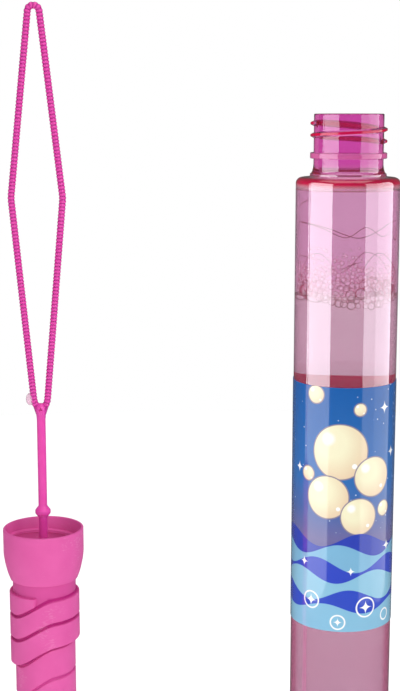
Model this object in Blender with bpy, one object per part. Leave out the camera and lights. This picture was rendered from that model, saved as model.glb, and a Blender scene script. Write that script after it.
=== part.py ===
"""A long bubble wand: the wand on its upturned screw-cap handle, beside its tube of bubble solution.

Metres, +Z up. The origin is on the floor, midway between the outer sides of the handle and the bottle.
Each sub-part is one object. The handle's pieces have their origin on the handle's axis.
"""

import math

import bmesh
import bpy
from mathutils import Vector

MM = 0.001

# Layout on the floor
AXIS_SPACING = 112.0 * MM
FIT_GAP = 0.3 * MM
ROUND_STEPS = 48
SMALL_STEPS = 32

# The bottle's screw neck, a 28 mm finish
THREAD_RADIUS = 13.75 * MM
NECK_RADIUS = 12.5 * MM
NECK_BORE_RADIUS = 10.85 * MM
NECK_ABOVE_RING = 13.7 * MM
RING_HEIGHT = 2.1 * MM
THREAD_PITCH = 4.23 * MM
THREAD_TURNS = 1.65
THREAD_START_DEPTH = 3.0 * MM
THREAD_START_DEG = 207.0
THREAD_ROOT_HALF_WIDTH = 1.15 * MM
THREAD_CREST_HALF_WIDTH = 0.35 * MM
THREAD_FADE_DEG = 25.0

# The bottle's body
BOTTLE_HEIGHT = 263.0 * MM
BOTTLE_RADIUS = 18.75 * MM
BOTTLE_WALL = 0.7 * MM
COLLAR_UNDER_RING = 1.5 * MM
FLARE_RADIUS = 13.7 * MM
FLARE_DROP = 3.9 * MM
SHOULDER_DROP = 1.3 * MM
SHOULDER_ROUND = 2.2 * MM
BASE_ROUND = 3.0 * MM
STANDING_RING_WIDTH = 2.4 * MM
BASE_DOME_HEIGHT = 4.5 * MM

# The wrap label and its recessed panel
LABEL_TOP_DEPTH = 96.0 * MM
LABEL_HEIGHT = 91.0 * MM
LABEL_THICKNESS = 0.2 * MM
PANEL_RECESS = 0.3 * MM
PANEL_MARGIN = 0.8 * MM

# The solution
LIQUID_DEPTH_BELOW_RIM = 64.0 * MM

# The handle
HANDLE_HEIGHT = 110.0 * MM
CUP_THREAD_CLEARANCE = 0.15 * MM
CUP_CREST_CLEARANCE = 0.45 * MM
CUP_THREAD_TURNS = 1.4
CUP_THREAD_START_DEPTH = 2.4 * MM
CUP_PLAIN_LENGTH = 1.8 * MM
RING_CLEARANCE = 1.7 * MM
SEAT_CLEARANCE = 0.4 * MM
COLLAR_WALL = 1.1 * MM
COLLAR_FOOT_WALL = 0.5 * MM
COLLAR_STRAIGHT = 8.6 * MM
COLLAR_CHAMFER = 2.2 * MM
LEDGE_COVER = 1.0 * MM
NECK_GROOVE_WIDTH = 4.6 * MM
NECK_GROOVE_STEP = 0.45 * MM
WASHER_THICKNESS = 1.8 * MM
FLANGE_THICKNESS = 1.8 * MM

# The wound grip
THIN_RADIUS = 11.35 * MM
THICK_STEP = 1.75 * MM
GRIP_WALL = 1.2 * MM
THICK_GROOVE_DEPTH = 1.0 * MM
THIN_GROOVE_DEPTH = 0.55 * MM
GROOVE_WIDTH = 0.7 * MM
GROOVE_MOUTH_SPREAD = 0.45 * MM
THICK_PITCH = 9.4 * MM
THIN_PITCH = 12.0 * MM
THICK_TURNS = 2
GROOVE_DIAGONAL_DROP = 7.2 * MM
DIAGONAL_START = 0.2
DIAGONAL_END = 0.42
GRIP_TURN_DEG = 6.5
BLUNT_END = 0.75
GROOVE_STEPS = 36

# The pommel and its end plug
POMMEL_HEIGHT = 9.0 * MM
POMMEL_STEP = 1.75 * MM
POMMEL_ROUND = 1.2 * MM
PLUG_FLANGE_THICKNESS = 2.4 * MM
PLUG_SPIGOT_LENGTH = 7.0 * MM
PLUG_WALL = 1.4 * MM

# The stem holder
SOCKET_DEPTH = 9.5 * MM
SOCKET_FLOOR = 1.5 * MM
HUB_WALL = 2.2 * MM
HOLDER_SKIRT_LENGTH = 5.0 * MM
HOLDER_SKIRT_WALL = 1.3 * MM

# The wand
STEM_RADIUS = 1.62 * MM
BEAD_RADIUS = 2.88 * MM
BEAD_HEIGHT = 6.2 * MM
BEAD_HALF_LENGTH = 2.8 * MM
BEAD_BAND_HALF = 0.6 * MM
STEM_LENGTH = 43.4 * MM
FORK_LENGTH = 4.9 * MM
LOOP_LOWER_LENGTH = 74.7 * MM
LOOP_UPPER_LENGTH = 69.0 * MM
STRAND_RADIUS = 1.3 * MM
LOOP_NECK_CLEARANCE = 0.45 * MM
LOOP_TOP_BEND = 2.1 * MM
LOOP_SIDE_BEND = 14.0 * MM
WASHER_BEAD_CLEARANCE = 0.4 * MM

# Worked out from the sizes above: radii
CUP_BORE_RADIUS = THREAD_RADIUS + CUP_THREAD_CLEARANCE
CUP_CREST_RADIUS = NECK_RADIUS + CUP_CREST_CLEARANCE
SEAT_BORE_RADIUS = NECK_RADIUS + SEAT_CLEARANCE
SEATED_RADIUS = SEAT_BORE_RADIUS - FIT_GAP
COLLAR_RADIUS = CUP_BORE_RADIUS + COLLAR_WALL
COLLAR_FOOT_RADIUS = SEAT_BORE_RADIUS + COLLAR_FOOT_WALL
THICK_RADIUS = THIN_RADIUS + THICK_STEP
POMMEL_RADIUS = THIN_RADIUS + POMMEL_STEP
NECK_GROOVE_RADIUS = THIN_RADIUS + NECK_GROOVE_STEP
BARREL_BORE_RADIUS = THIN_RADIUS - THIN_GROOVE_DEPTH - GRIP_WALL
SOCKET_RADIUS = STEM_RADIUS + FIT_GAP
LOOP_HALF_WIDTH = NECK_BORE_RADIUS - LOOP_NECK_CLEARANCE / 2 - STRAND_RADIUS
PANEL_RADIUS = BOTTLE_RADIUS - PANEL_RECESS
LABEL_INNER_RADIUS = PANEL_RADIUS + FIT_GAP
LABEL_RADIUS = LABEL_INNER_RADIUS + LABEL_THICKNESS
WIDEST_BOTTLE_RADIUS = max(BOTTLE_RADIUS, LABEL_RADIUS)
WIDEST_HANDLE_RADIUS = max(COLLAR_RADIUS, THICK_RADIUS, POMMEL_RADIUS)
OVERALL_WIDTH = AXIS_SPACING + WIDEST_HANDLE_RADIUS + WIDEST_BOTTLE_RADIUS
HANDLE_X = -OVERALL_WIDTH / 2 + WIDEST_HANDLE_RADIUS
BOTTLE_X = OVERALL_WIDTH / 2 - WIDEST_BOTTLE_RADIUS

# Heights on the bottle
RING_TOP = BOTTLE_HEIGHT - NECK_ABOVE_RING
RING_BOTTOM = RING_TOP - RING_HEIGHT
FLARE_TOP = RING_BOTTOM - COLLAR_UNDER_RING
SHOULDER_TOP = FLARE_TOP - FLARE_DROP - SHOULDER_DROP

# Depths below the handle's rim, and heights above it
CUP_FLOOR_DEPTH = NECK_ABOVE_RING - RING_CLEARANCE
CUP_THREAD_ZONE = CUP_FLOOR_DEPTH - CUP_PLAIN_LENGTH
FLANGE_DEPTH = CUP_FLOOR_DEPTH + WASHER_THICKNESS + FIT_GAP
LEDGE_DEPTH = FLANGE_DEPTH + FLANGE_THICKNESS + FIT_GAP
COLLAR_FOOT_DEPTH = LEDGE_DEPTH + LEDGE_COVER
NECK_GROOVE_TOP = COLLAR_FOOT_DEPTH + COLLAR_CHAMFER
NECK_GROOVE_BOTTOM = NECK_GROOVE_TOP + NECK_GROOVE_WIDTH
SHELL_END = PLUG_FLANGE_THICKNESS + FIT_GAP
CROTCH_HEIGHT = STEM_LENGTH + FORK_LENGTH
WIDEST_HEIGHT = CROTCH_HEIGHT + LOOP_LOWER_LENGTH
WAND_REACH = WIDEST_HEIGHT + LOOP_UPPER_LENGTH

HANDLE_COLOUR = (0.80, 0.09, 0.40, 1.0)
WAND_COLOUR = (0.91, 0.08, 0.46, 1.0)


def clear_scene():
    for old in list(bpy.context.scene.objects):
        bpy.data.objects.remove(old, do_unlink=True)


def plastic(name, colour, roughness, alpha=1.0, transmission=0.0):
    """A Principled plastic. Alpha and transmission are for the clear pieces."""
    made = bpy.data.materials.new(name)
    made.use_nodes = True
    shader = made.node_tree.nodes["Principled BSDF"]
    shader.inputs["Base Color"].default_value = colour
    shader.inputs["Roughness"].default_value = roughness
    shader.inputs["Metallic"].default_value = 0.0
    shader.inputs["Alpha"].default_value = alpha
    shader.inputs["Transmission Weight"].default_value = transmission
    made.diffuse_color = colour[:3] + (alpha,)
    return made


def add_object(name, bm, x=0.0, z=0.0, material=None):
    """Turns the bmesh into an object at (x, 0, z), faces out, shaded smooth but for sharp edges."""
    bmesh.ops.remove_doubles(bm, verts=bm.verts, dist=1e-7)
    bmesh.ops.recalc_face_normals(bm, faces=bm.faces)
    mesh = bpy.data.meshes.new(name)
    bm.to_mesh(mesh)
    bm.free()
    mesh.shade_smooth()
    mesh.set_sharp_from_angle(angle=math.radians(35))
    made = bpy.data.objects.new(name, mesh)
    bpy.context.scene.collection.objects.link(made)
    made.location = (x, 0.0, z)
    if material:
        mesh.materials.append(material)
    return made


def helper(made):
    """Marks a cutter or an addition that a Boolean reads, which is no piece of the product."""
    made.hide_render = True
    made.display_type = "WIRE"
    return made


def boolean(target, operand, operation, crosses_itself=False):
    change = target.modifiers.new(operation.title() + " " + operand.name, "BOOLEAN")
    change.operation = operation
    change.solver = "EXACT"
    change.use_self = crosses_itself
    change.object = helper(operand)


def turned(profile, steps=ROUND_STEPS, closed=True):
    """A bmesh of the (radius, height) profile spun about Z. It may have its ends or one edge on the axis."""
    bm = bmesh.new()
    verts = [bm.verts.new((radius, 0.0, height)) for radius, height in profile]
    ends = zip(verts, verts[1:] + verts[:1]) if closed else zip(verts, verts[1:])
    edges = [bm.edges.new(pair) for pair in ends]
    bmesh.ops.spin(
        bm,
        geom=verts + edges,
        cent=(0.0, 0.0, 0.0),
        axis=(0.0, 0.0, 1.0),
        angle=math.tau,
        steps=steps,
        use_merge=True,
    )
    bmesh.ops.remove_doubles(bm, verts=bm.verts, dist=1e-7)
    bmesh.ops.dissolve_degenerate(bm, edges=bm.edges, dist=1e-7)
    along_axis = [edge for edge in bm.edges if not edge.link_faces]
    bmesh.ops.delete(bm, geom=along_axis, context="EDGES")
    return bm


def skinned(rings, joined=False):
    """A bmesh through the rings of points in order, capped at both ends, or joined end to start."""
    bm = bmesh.new()
    loops = [[bm.verts.new(point) for point in ring] for ring in rings]
    pairs = list(zip(loops, loops[1:]))
    if joined:
        pairs.append((loops[-1], loops[0]))
    for near, far in pairs:
        for i in range(len(near)):
            j = (i + 1) % len(near)
            bm.faces.new((near[i], near[j], far[j], far[i]))
    if not joined:
        bm.faces.new(loops[0])
        bm.faces.new(loops[-1])
    return bm


def arc(centre_radius, centre_height, size, from_deg, to_deg, steps):
    """Profile points on a round of the given size, from one angle to the other, 0 pointing outward."""
    points = []
    for i in range(steps + 1):
        angle = math.radians(from_deg + (to_deg - from_deg) * i / steps)
        points.append((centre_radius + size * math.cos(angle), centre_height + size * math.sin(angle)))
    return points


def smooth(t):
    t = min(max(t, 0.0), 1.0)
    return t * t * (3.0 - 2.0 * t)


def round_point(radius, angle, height):
    return (radius * math.cos(angle), radius * math.sin(angle), height)


def thread(name, turns, root, crest, buried, start_angle, top, x):
    """A right-hand thread of the neck's pitch, from its top downward, its ends fading into the wall."""
    steps = round(turns * ROUND_STEPS)
    fade = THREAD_FADE_DEG / 360.0 * ROUND_STEPS
    rings = []
    for i in range(steps + 1):
        rise = smooth(min(i, steps - i) / fade)
        tip = buried + (crest - buried) * rise
        angle = start_angle - math.tau * i / ROUND_STEPS
        height = top - THREAD_PITCH * i / ROUND_STEPS
        rings.append([
            round_point(root, angle, height - THREAD_ROOT_HALF_WIDTH),
            round_point(tip, angle, height - THREAD_CREST_HALF_WIDTH),
            round_point(tip, angle, height + THREAD_CREST_HALF_WIDTH),
            round_point(root, angle, height + THREAD_ROOT_HALF_WIDTH),
        ])
    return add_object(name, skinned(rings), x)


def bottle_outline():
    """The outside from the rim down to the middle of the base, heights measured from the floor."""
    rim_round = 0.3 * MM
    panel_top = BOTTLE_HEIGHT - LABEL_TOP_DEPTH + PANEL_MARGIN
    panel_bottom = panel_top - LABEL_HEIGHT - 2 * PANEL_MARGIN
    stand_outer = BOTTLE_RADIUS - BASE_ROUND
    stand_inner = stand_outer - STANDING_RING_WIDTH
    flare = []
    for i in range(5):
        drop = math.sin(math.radians(90.0 * i / 4))
        spread = 1.0 - math.cos(math.radians(90.0 * i / 4))
        flare.append((
            NECK_RADIUS + (FLARE_RADIUS - NECK_RADIUS) * spread,
            FLARE_TOP - FLARE_DROP * drop,
        ))
    return [
        (NECK_RADIUS - rim_round, BOTTLE_HEIGHT),
        (NECK_RADIUS, BOTTLE_HEIGHT - rim_round),
        (NECK_RADIUS, RING_TOP),
        (THREAD_RADIUS - rim_round, RING_TOP),
        (THREAD_RADIUS, RING_TOP - rim_round),
        (THREAD_RADIUS, RING_BOTTOM + rim_round),
        (THREAD_RADIUS - rim_round, RING_BOTTOM),
        (NECK_RADIUS, RING_BOTTOM),
        *flare,
        *arc(BOTTLE_RADIUS - SHOULDER_ROUND, SHOULDER_TOP - SHOULDER_ROUND, SHOULDER_ROUND, 90, 0, 4),
        (BOTTLE_RADIUS, panel_top),
        (PANEL_RADIUS, panel_top - PANEL_RECESS),
        (PANEL_RADIUS, panel_bottom + PANEL_RECESS),
        (BOTTLE_RADIUS, panel_bottom),
        *arc(BOTTLE_RADIUS - BASE_ROUND, BASE_ROUND, BASE_ROUND, 0, -90, 4),
        (stand_inner, 0.0),
        *dome(stand_inner, 0.0, BASE_DOME_HEIGHT, 3),
    ]


def dome(radius, foot, height, steps):
    """Points that rise from the foot of the base's push-up to its top on the axis."""
    points = []
    for i in range(1, steps + 1):
        turn = math.radians(90.0 * i / steps)
        points.append((radius * math.cos(turn) if i < steps else 0.0, foot + height * math.sin(turn)))
    return points


def bottle_cavity(shrink=0.0):
    """The inside from the middle of the base up to the bore, drawn in by the given gap."""
    radius = PANEL_RADIUS - BOTTLE_WALL - shrink
    low = BOTTLE_WALL + shrink
    corner = BASE_ROUND
    stand_inner = radius - corner - STANDING_RING_WIDTH
    return [
        *reversed(dome(stand_inner, low, BASE_DOME_HEIGHT, 3)),
        (stand_inner, low),
        *arc(radius - corner, low + corner, corner, -90, 0, 3),
    ]


def make_bottle():
    inner_radius = PANEL_RADIUS - BOTTLE_WALL
    inside_top = SHOULDER_TOP - BOTTLE_WALL
    profile = [
        *bottle_outline(),
        *bottle_cavity(),
        *arc(inner_radius - SHOULDER_ROUND, inside_top - SHOULDER_ROUND, SHOULDER_ROUND, 0, 90, 3),
        (FLARE_RADIUS - BOTTLE_WALL, inside_top),
        (NECK_BORE_RADIUS, inside_top + FLARE_DROP + SHOULDER_DROP),
        (NECK_BORE_RADIUS, BOTTLE_HEIGHT),
    ]
    pink = plastic("clear pink bottle", (0.86, 0.42, 0.66, 1.0), 0.05, 0.45, 0.8)
    made = add_object("bottle", turned(profile), BOTTLE_X, 0.0, pink)
    ridge = thread(
        "neck thread",
        turns=THREAD_TURNS,
        root=NECK_RADIUS - 0.4 * MM,
        crest=THREAD_RADIUS,
        buried=NECK_RADIUS - 0.15 * MM,
        start_angle=math.radians(THREAD_START_DEG),
        top=BOTTLE_HEIGHT - THREAD_START_DEPTH,
        x=BOTTLE_X,
    )
    boolean(made, ridge, "UNION")
    return made


def make_label():
    top = BOTTLE_HEIGHT - LABEL_TOP_DEPTH
    bottom = top - LABEL_HEIGHT
    profile = [
        (LABEL_RADIUS, top),
        (LABEL_RADIUS, bottom),
        (LABEL_INNER_RADIUS, bottom),
        (LABEL_INNER_RADIUS, top),
    ]
    blue = plastic("printed label film", (0.03, 0.13, 0.42, 1.0), 0.35)
    return add_object("label_sleeve", turned(profile), BOTTLE_X, 0.0, blue)


def make_solution():
    top = BOTTLE_HEIGHT - LIQUID_DEPTH_BELOW_RIM
    radius = PANEL_RADIUS - BOTTLE_WALL - FIT_GAP
    profile = [
        *bottle_cavity(FIT_GAP),
        (radius, top),
        (0.0, top),
    ]
    soapy = plastic("bubble solution", (0.90, 0.62, 0.76, 1.0), 0.05, 0.4, 0.9)
    return add_object("bubble_solution", turned(profile, SMALL_STEPS, closed=False), BOTTLE_X, 0.0, soapy)


def groove_depth(turns):
    """How far below the handle's rim the groove runs, by the turns made since it left the right side.

    Each turn runs nearly level across the right of the front, drops on a diagonal across the left of
    the front, and falls slowly round the back.
    """
    whole = math.floor(turns)
    part = turns - whole
    thick = min(whole, THICK_TURNS)
    thin = whole - thick
    pitch = THICK_PITCH if whole < THICK_TURNS else THIN_PITCH
    start = NECK_GROOVE_BOTTOM + thick * THICK_PITCH + thin * THIN_PITCH
    diagonal = smooth((part - DIAGONAL_START) / (DIAGONAL_END - DIAGONAL_START))
    return start + GROOVE_DIAGONAL_DROP * diagonal + (pitch - GROOVE_DIAGONAL_DROP) * part


def groove_angle(turns):
    return math.radians(GRIP_TURN_DEG) - math.tau * turns


def groove_turns():
    """The whole steps of the groove that end clear of the pommel."""
    limit = HANDLE_HEIGHT - SHELL_END - POMMEL_HEIGHT - GROOVE_WIDTH - GROOVE_MOUTH_SPREAD
    steps = 0
    while groove_depth((steps + 1) / GROOVE_STEPS) < limit:
        steps += 1
    return steps


def groove_cutter():
    """The helical cutter, deeper through the thick wraps, running out at its lower end."""
    outside = WIDEST_HANDLE_RADIUS + 1.0 * MM
    steps = groove_turns()
    fade = GROOVE_STEPS / 12
    rings = []
    for i in range(steps + 1):
        turns = i / GROOVE_STEPS
        thin = smooth((turns - THICK_TURNS + 0.5) * 2.0)
        surface = THICK_RADIUS + (THIN_RADIUS - THICK_RADIUS) * thin
        depth = THICK_GROOVE_DEPTH + (THIN_GROOVE_DEPTH - THICK_GROOVE_DEPTH) * thin
        floor = surface - depth * smooth((steps - i) / fade + 0.01)
        spread = GROOVE_WIDTH / 2 + GROOVE_MOUTH_SPREAD * (outside - floor) / THICK_GROOVE_DEPTH
        angle = groove_angle(turns)
        height = HANDLE_HEIGHT - groove_depth(turns)
        rings.append([
            round_point(floor, angle, height - GROOVE_WIDTH / 2),
            round_point(outside, angle, height - spread),
            round_point(outside, angle, height + spread),
            round_point(floor, angle, height + GROOVE_WIDTH / 2),
        ])
    return add_object("grip groove", skinned(rings), HANDLE_X)


def thick_wraps():
    """The raised sleeve of the thick wraps: level on top, its lower edge along the groove to a blunt end."""
    inner = min(THIN_RADIUS, NECK_GROOVE_RADIUS) - 0.4 * MM
    round_over = 0.35 * MM
    top = HANDLE_HEIGHT - NECK_GROOVE_BOTTOM
    rings = []
    for i in range(ROUND_STEPS):
        part = i / ROUND_STEPS
        turns = THICK_TURNS + part if part < BLUNT_END else THICK_TURNS - 1 + part
        bottom = HANDLE_HEIGHT - groove_depth(turns)
        angle = groove_angle(part)
        rings.append([
            round_point(inner, angle, bottom),
            round_point(THICK_RADIUS - round_over, angle, bottom),
            round_point(THICK_RADIUS, angle, bottom + round_over),
            round_point(THICK_RADIUS, angle, top - round_over),
            round_point(THICK_RADIUS - round_over, angle, top),
            round_point(inner, angle, top),
        ])
    return add_object("thick wraps", skinned(rings, joined=True), HANDLE_X)


def shell_profile():
    """The turned shell, from the rim down the outside to the pommel and back up the bore."""
    rim_round = 0.35 * MM
    hidden_step = NECK_GROOVE_BOTTOM + 2.0 * MM

    def level(depth):
        return HANDLE_HEIGHT - depth

    taper = []
    for i in range(1, 5):
        part = i / 4
        taper.append((
            COLLAR_RADIUS + (COLLAR_FOOT_RADIUS - COLLAR_RADIUS) * part**1.6,
            level(COLLAR_STRAIGHT + (COLLAR_FOOT_DEPTH - COLLAR_STRAIGHT) * part),
        ))
    pommel_low = SHELL_END
    pommel_high = SHELL_END + POMMEL_HEIGHT
    return [
        (COLLAR_RADIUS - rim_round, HANDLE_HEIGHT),
        (COLLAR_RADIUS, level(rim_round)),
        (COLLAR_RADIUS, level(COLLAR_STRAIGHT)),
        *taper,
        (NECK_GROOVE_RADIUS, level(NECK_GROOVE_TOP)),
        (NECK_GROOVE_RADIUS, level(hidden_step)),
        (THIN_RADIUS, level(hidden_step)),
        (THIN_RADIUS, pommel_high),
        (POMMEL_RADIUS - POMMEL_ROUND, pommel_high - POMMEL_ROUND),
        (POMMEL_RADIUS, pommel_high - 2.5 * POMMEL_ROUND),
        (POMMEL_RADIUS, pommel_low + POMMEL_ROUND / 2),
        (POMMEL_RADIUS - POMMEL_ROUND / 2, pommel_low),
        (BARREL_BORE_RADIUS, pommel_low),
        (BARREL_BORE_RADIUS, level(LEDGE_DEPTH)),
        (SEAT_BORE_RADIUS, level(LEDGE_DEPTH)),
        (SEAT_BORE_RADIUS, level(CUP_THREAD_ZONE)),
        (CUP_BORE_RADIUS, level(CUP_THREAD_ZONE - (CUP_BORE_RADIUS - SEAT_BORE_RADIUS) / 2)),
        (CUP_BORE_RADIUS, level(rim_round)),
        (CUP_BORE_RADIUS + rim_round, HANDLE_HEIGHT),
    ]


def make_shell():
    pink = plastic("matte pink handle", HANDLE_COLOUR, 0.55)
    made = add_object("grip_shell", turned(shell_profile()), HANDLE_X, 0.0, pink)
    boolean(made, thick_wraps(), "UNION")
    boolean(made, groove_cutter(), "DIFFERENCE")
    ridge = thread(
        "cup thread",
        turns=CUP_THREAD_TURNS,
        root=CUP_BORE_RADIUS + 0.4 * MM,
        crest=CUP_CREST_RADIUS,
        buried=CUP_BORE_RADIUS + 0.15 * MM,
        start_angle=0.0,
        top=HANDLE_HEIGHT - CUP_THREAD_START_DEPTH,
        x=HANDLE_X,
    )
    boolean(made, ridge, "UNION")
    return made


def make_washer():
    """The soft sealing ring that the bottle's rim presses on, wide enough inside to pass the bead."""
    top = HANDLE_HEIGHT - CUP_FLOOR_DEPTH
    bottom = top - WASHER_THICKNESS
    hole = BEAD_RADIUS + WASHER_BEAD_CLEARANCE
    profile = [(SEATED_RADIUS, top), (SEATED_RADIUS, bottom), (hole, bottom), (hole, top)]
    white = plastic("soft white seal", (0.83, 0.80, 0.80, 1.0), 0.6)
    return add_object("seal_washer", turned(profile, SMALL_STEPS), HANDLE_X, 0.0, white)


def make_holder():
    """The disc below the seal: a flange on the shell's ledge, a skirt in the bore and a blind socket."""
    top = HANDLE_HEIGHT - FLANGE_DEPTH
    under = top - FLANGE_THICKNESS
    skirt_radius = BARREL_BORE_RADIUS - FIT_GAP
    skirt_inner = skirt_radius - HOLDER_SKIRT_WALL
    hub = SOCKET_RADIUS + HUB_WALL
    socket_floor = top - SOCKET_DEPTH
    hub_end = socket_floor - SOCKET_FLOOR
    skirt_end = under - HOLDER_SKIRT_LENGTH
    profile = [
        (0.0, socket_floor),
        (SOCKET_RADIUS, socket_floor),
        (SOCKET_RADIUS, top),
        (SEATED_RADIUS, top),
        (SEATED_RADIUS, under),
        (skirt_radius, under),
        (skirt_radius, skirt_end),
        (skirt_inner, skirt_end),
        (skirt_inner, under),
        (hub, under),
        (hub, hub_end),
        (0.0, hub_end),
    ]
    pink = plastic("pink stem holder", HANDLE_COLOUR, 0.45)
    return add_object("stem_holder", turned(profile, SMALL_STEPS, closed=False), HANDLE_X, 0.0, pink)


def make_plug():
    """The push-in plug that closes the barrel and that the upturned handle stands on."""
    edge = 0.5 * MM
    flange = POMMEL_RADIUS - POMMEL_ROUND / 2
    spigot = BARREL_BORE_RADIUS - FIT_GAP
    spigot_top = PLUG_FLANGE_THICKNESS + PLUG_SPIGOT_LENGTH
    profile = [
        (0.0, PLUG_FLANGE_THICKNESS),
        (spigot - PLUG_WALL, PLUG_FLANGE_THICKNESS),
        (spigot - PLUG_WALL, spigot_top),
        (spigot, spigot_top),
        (spigot, PLUG_FLANGE_THICKNESS),
        (flange, PLUG_FLANGE_THICKNESS),
        (flange, edge),
        (flange - edge, 0.0),
        (0.0, 0.0),
    ]
    pink = plastic("pink end plug", HANDLE_COLOUR, 0.5)
    return add_object("end_plug", turned(profile, SMALL_STEPS, closed=False), HANDLE_X, 0.0, pink)


def bend(corner, before, after, radius, steps):
    """Points of an arc that rounds the corner between the two neighbours, in the loop's plane."""
    to_before = (before - corner).normalized()
    to_after = (after - corner).normalized()
    half = to_before.angle(to_after) / 2
    centre = corner + (to_before + to_after).normalized() * (radius / math.sin(half))
    start = corner + to_before * (radius / math.tan(half)) - centre
    finish = corner + to_after * (radius / math.tan(half)) - centre
    sweep = start.angle(finish)
    points = []
    for i in range(steps + 1):
        part = i / steps
        near = start * math.sin((1 - part) * sweep) + finish * math.sin(part * sweep)
        points.append(centre + near / math.sin(sweep))
    return points


def loop_route():
    """The centre line of the loop in its own plane, from the stem's top up one side and down the other."""
    top = WAND_REACH - STRAND_RADIUS
    crotch_half = STRAND_RADIUS * 0.9
    side = Vector((-LOOP_HALF_WIDTH, WIDEST_HEIGHT))
    foot = Vector((-crotch_half, CROTCH_HEIGHT))
    shoulder = Vector((-LOOP_TOP_BEND, top - LOOP_TOP_BEND))
    left = [Vector((-0.5 * MM, STEM_LENGTH)), foot]
    left += bend(side, foot, shoulder, LOOP_SIDE_BEND, 5)
    left.append(shoulder)
    crown = []
    for i in range(1, 8):
        angle = math.pi - math.pi * i / 8
        crown.append(Vector((
            LOOP_TOP_BEND * math.cos(angle),
            top - LOOP_TOP_BEND + LOOP_TOP_BEND * math.sin(angle),
        )))
    right = [Vector((-point.x, point.y)) for point in reversed(left)]
    return left + crown + right


def strand_rings(route, radius, sides):
    """Round sections square to the route."""
    rings = []
    for i, point in enumerate(route):
        before = route[max(i - 1, 0)]
        after = route[min(i + 1, len(route) - 1)]
        along = (after - before).normalized()
        rings.append([
            (
                point.x - along.y * radius * math.cos(math.tau * k / sides),
                radius * math.sin(math.tau * k / sides),
                point.y + along.x * radius * math.cos(math.tau * k / sides),
            )
            for k in range(sides)
        ])
    return rings


def make_wand():
    """One moulding: the loop, the fork below it, the stem with its bead, and the end held in the socket."""
    stem_sides = 16
    strand_sides = 10
    stem_foot = FIT_GAP - FLANGE_DEPTH - SOCKET_DEPTH
    fork = STEM_RADIUS * 1.25
    profile = [
        (0.0, stem_foot),
        (STEM_RADIUS, stem_foot),
        (STEM_RADIUS, BEAD_HEIGHT - BEAD_HALF_LENGTH),
        (BEAD_RADIUS, BEAD_HEIGHT - BEAD_BAND_HALF),
        (BEAD_RADIUS, BEAD_HEIGHT + BEAD_BAND_HALF),
        (STEM_RADIUS, BEAD_HEIGHT + BEAD_HALF_LENGTH),
        (STEM_RADIUS, STEM_LENGTH - 1.0 * MM),
        (fork, STEM_LENGTH + 1.0 * MM),
        (fork, CROTCH_HEIGHT - 1.5 * MM),
        (STEM_RADIUS * 0.6, CROTCH_HEIGHT + 1.0 * MM),
        (0.0, CROTCH_HEIGHT + 1.0 * MM),
    ]
    pink = plastic("bright pink wand", WAND_COLOUR, 0.4)
    made = add_object("wand", turned(profile, stem_sides, closed=False), HANDLE_X, HANDLE_HEIGHT, pink)
    rings = strand_rings(loop_route(), STRAND_RADIUS, strand_sides)
    loop = add_object("wand loop", skinned(rings), HANDLE_X, HANDLE_HEIGHT)
    boolean(made, loop, "UNION", crosses_itself=True)
    return made


def main():
    clear_scene()
    make_bottle()
    make_label()
    make_solution()
    make_shell()
    make_washer()
    make_holder()
    make_plug()
    make_wand()


main()
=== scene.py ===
"""The looks of the long bubble wand: its clear pink bottle, its label, the wound handle and the ribbed loop."""

import math
import random

import bmesh
import bpy
from bpy.props import FloatProperty, FloatVectorProperty, IntProperty, PointerProperty
from bpy.types import Operator, Panel, PropertyGroup
from mathutils import Matrix, Vector


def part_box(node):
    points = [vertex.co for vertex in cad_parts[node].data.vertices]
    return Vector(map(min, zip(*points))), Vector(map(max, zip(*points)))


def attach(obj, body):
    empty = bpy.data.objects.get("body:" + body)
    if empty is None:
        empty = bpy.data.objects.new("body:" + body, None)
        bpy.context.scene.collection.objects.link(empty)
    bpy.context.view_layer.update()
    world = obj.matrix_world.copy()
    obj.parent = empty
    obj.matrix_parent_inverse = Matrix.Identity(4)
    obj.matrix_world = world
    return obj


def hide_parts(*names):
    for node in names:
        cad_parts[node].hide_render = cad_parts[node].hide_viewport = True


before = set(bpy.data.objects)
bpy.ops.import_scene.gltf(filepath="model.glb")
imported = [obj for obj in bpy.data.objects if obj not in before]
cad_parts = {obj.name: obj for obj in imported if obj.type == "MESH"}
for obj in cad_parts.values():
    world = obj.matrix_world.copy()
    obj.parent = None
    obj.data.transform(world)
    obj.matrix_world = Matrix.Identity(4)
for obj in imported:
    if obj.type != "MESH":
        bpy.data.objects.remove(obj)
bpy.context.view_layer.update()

bl_info = {
    "name": "Long Bubble Wand",
    "version": (1, 0, 0),
    "blender": (4, 5, 0),
    "location": "3D View > Sidebar > Bubble Wand",
    "description": "Builds the visible pieces of a bubble wand and its bottle on their CAD frame",
    "category": "Object",
}

MM = 0.001
WHITE = "#ffffff"
ABOUT_Z = {"cent": (0.0, 0.0, 0.0), "axis": (0.0, 0.0, 1.0)}
UPRIGHT = Matrix.Rotation(math.radians(90.0), 4, "X")
# Facets around each turned piece
SOLUTION_STEPS, LABEL_STEPS, GRIP_STEPS, FITTING_STEPS = 160, 192, 180, 128

# Where the CAD stands, read from the frame
BOTTLE_LOW, BOTTLE_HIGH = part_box("bottle")
SHELL_LOW, SHELL_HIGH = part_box("grip_shell")
LABEL_LOW, LABEL_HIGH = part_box("label_sleeve")
SOLUTION_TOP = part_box("bubble_solution")[1].z
WAND_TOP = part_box("wand")[1].z
BOTTLE_X = (BOTTLE_LOW.x + BOTTLE_HIGH.x) / 2
HANDLE_X = (SHELL_LOW.x + SHELL_HIGH.x) / 2
HANDLE_TOP = SHELL_HIGH.z
SHELL_END = SHELL_LOW.z
BOTTLE_RADIUS = (BOTTLE_HIGH.x - BOTTLE_LOW.x) / 2
LABEL_RADIUS = (LABEL_HIGH.x - LABEL_LOW.x) / 2
COLLAR_RADIUS = (SHELL_HIGH.x - SHELL_LOW.x) / 2

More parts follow.
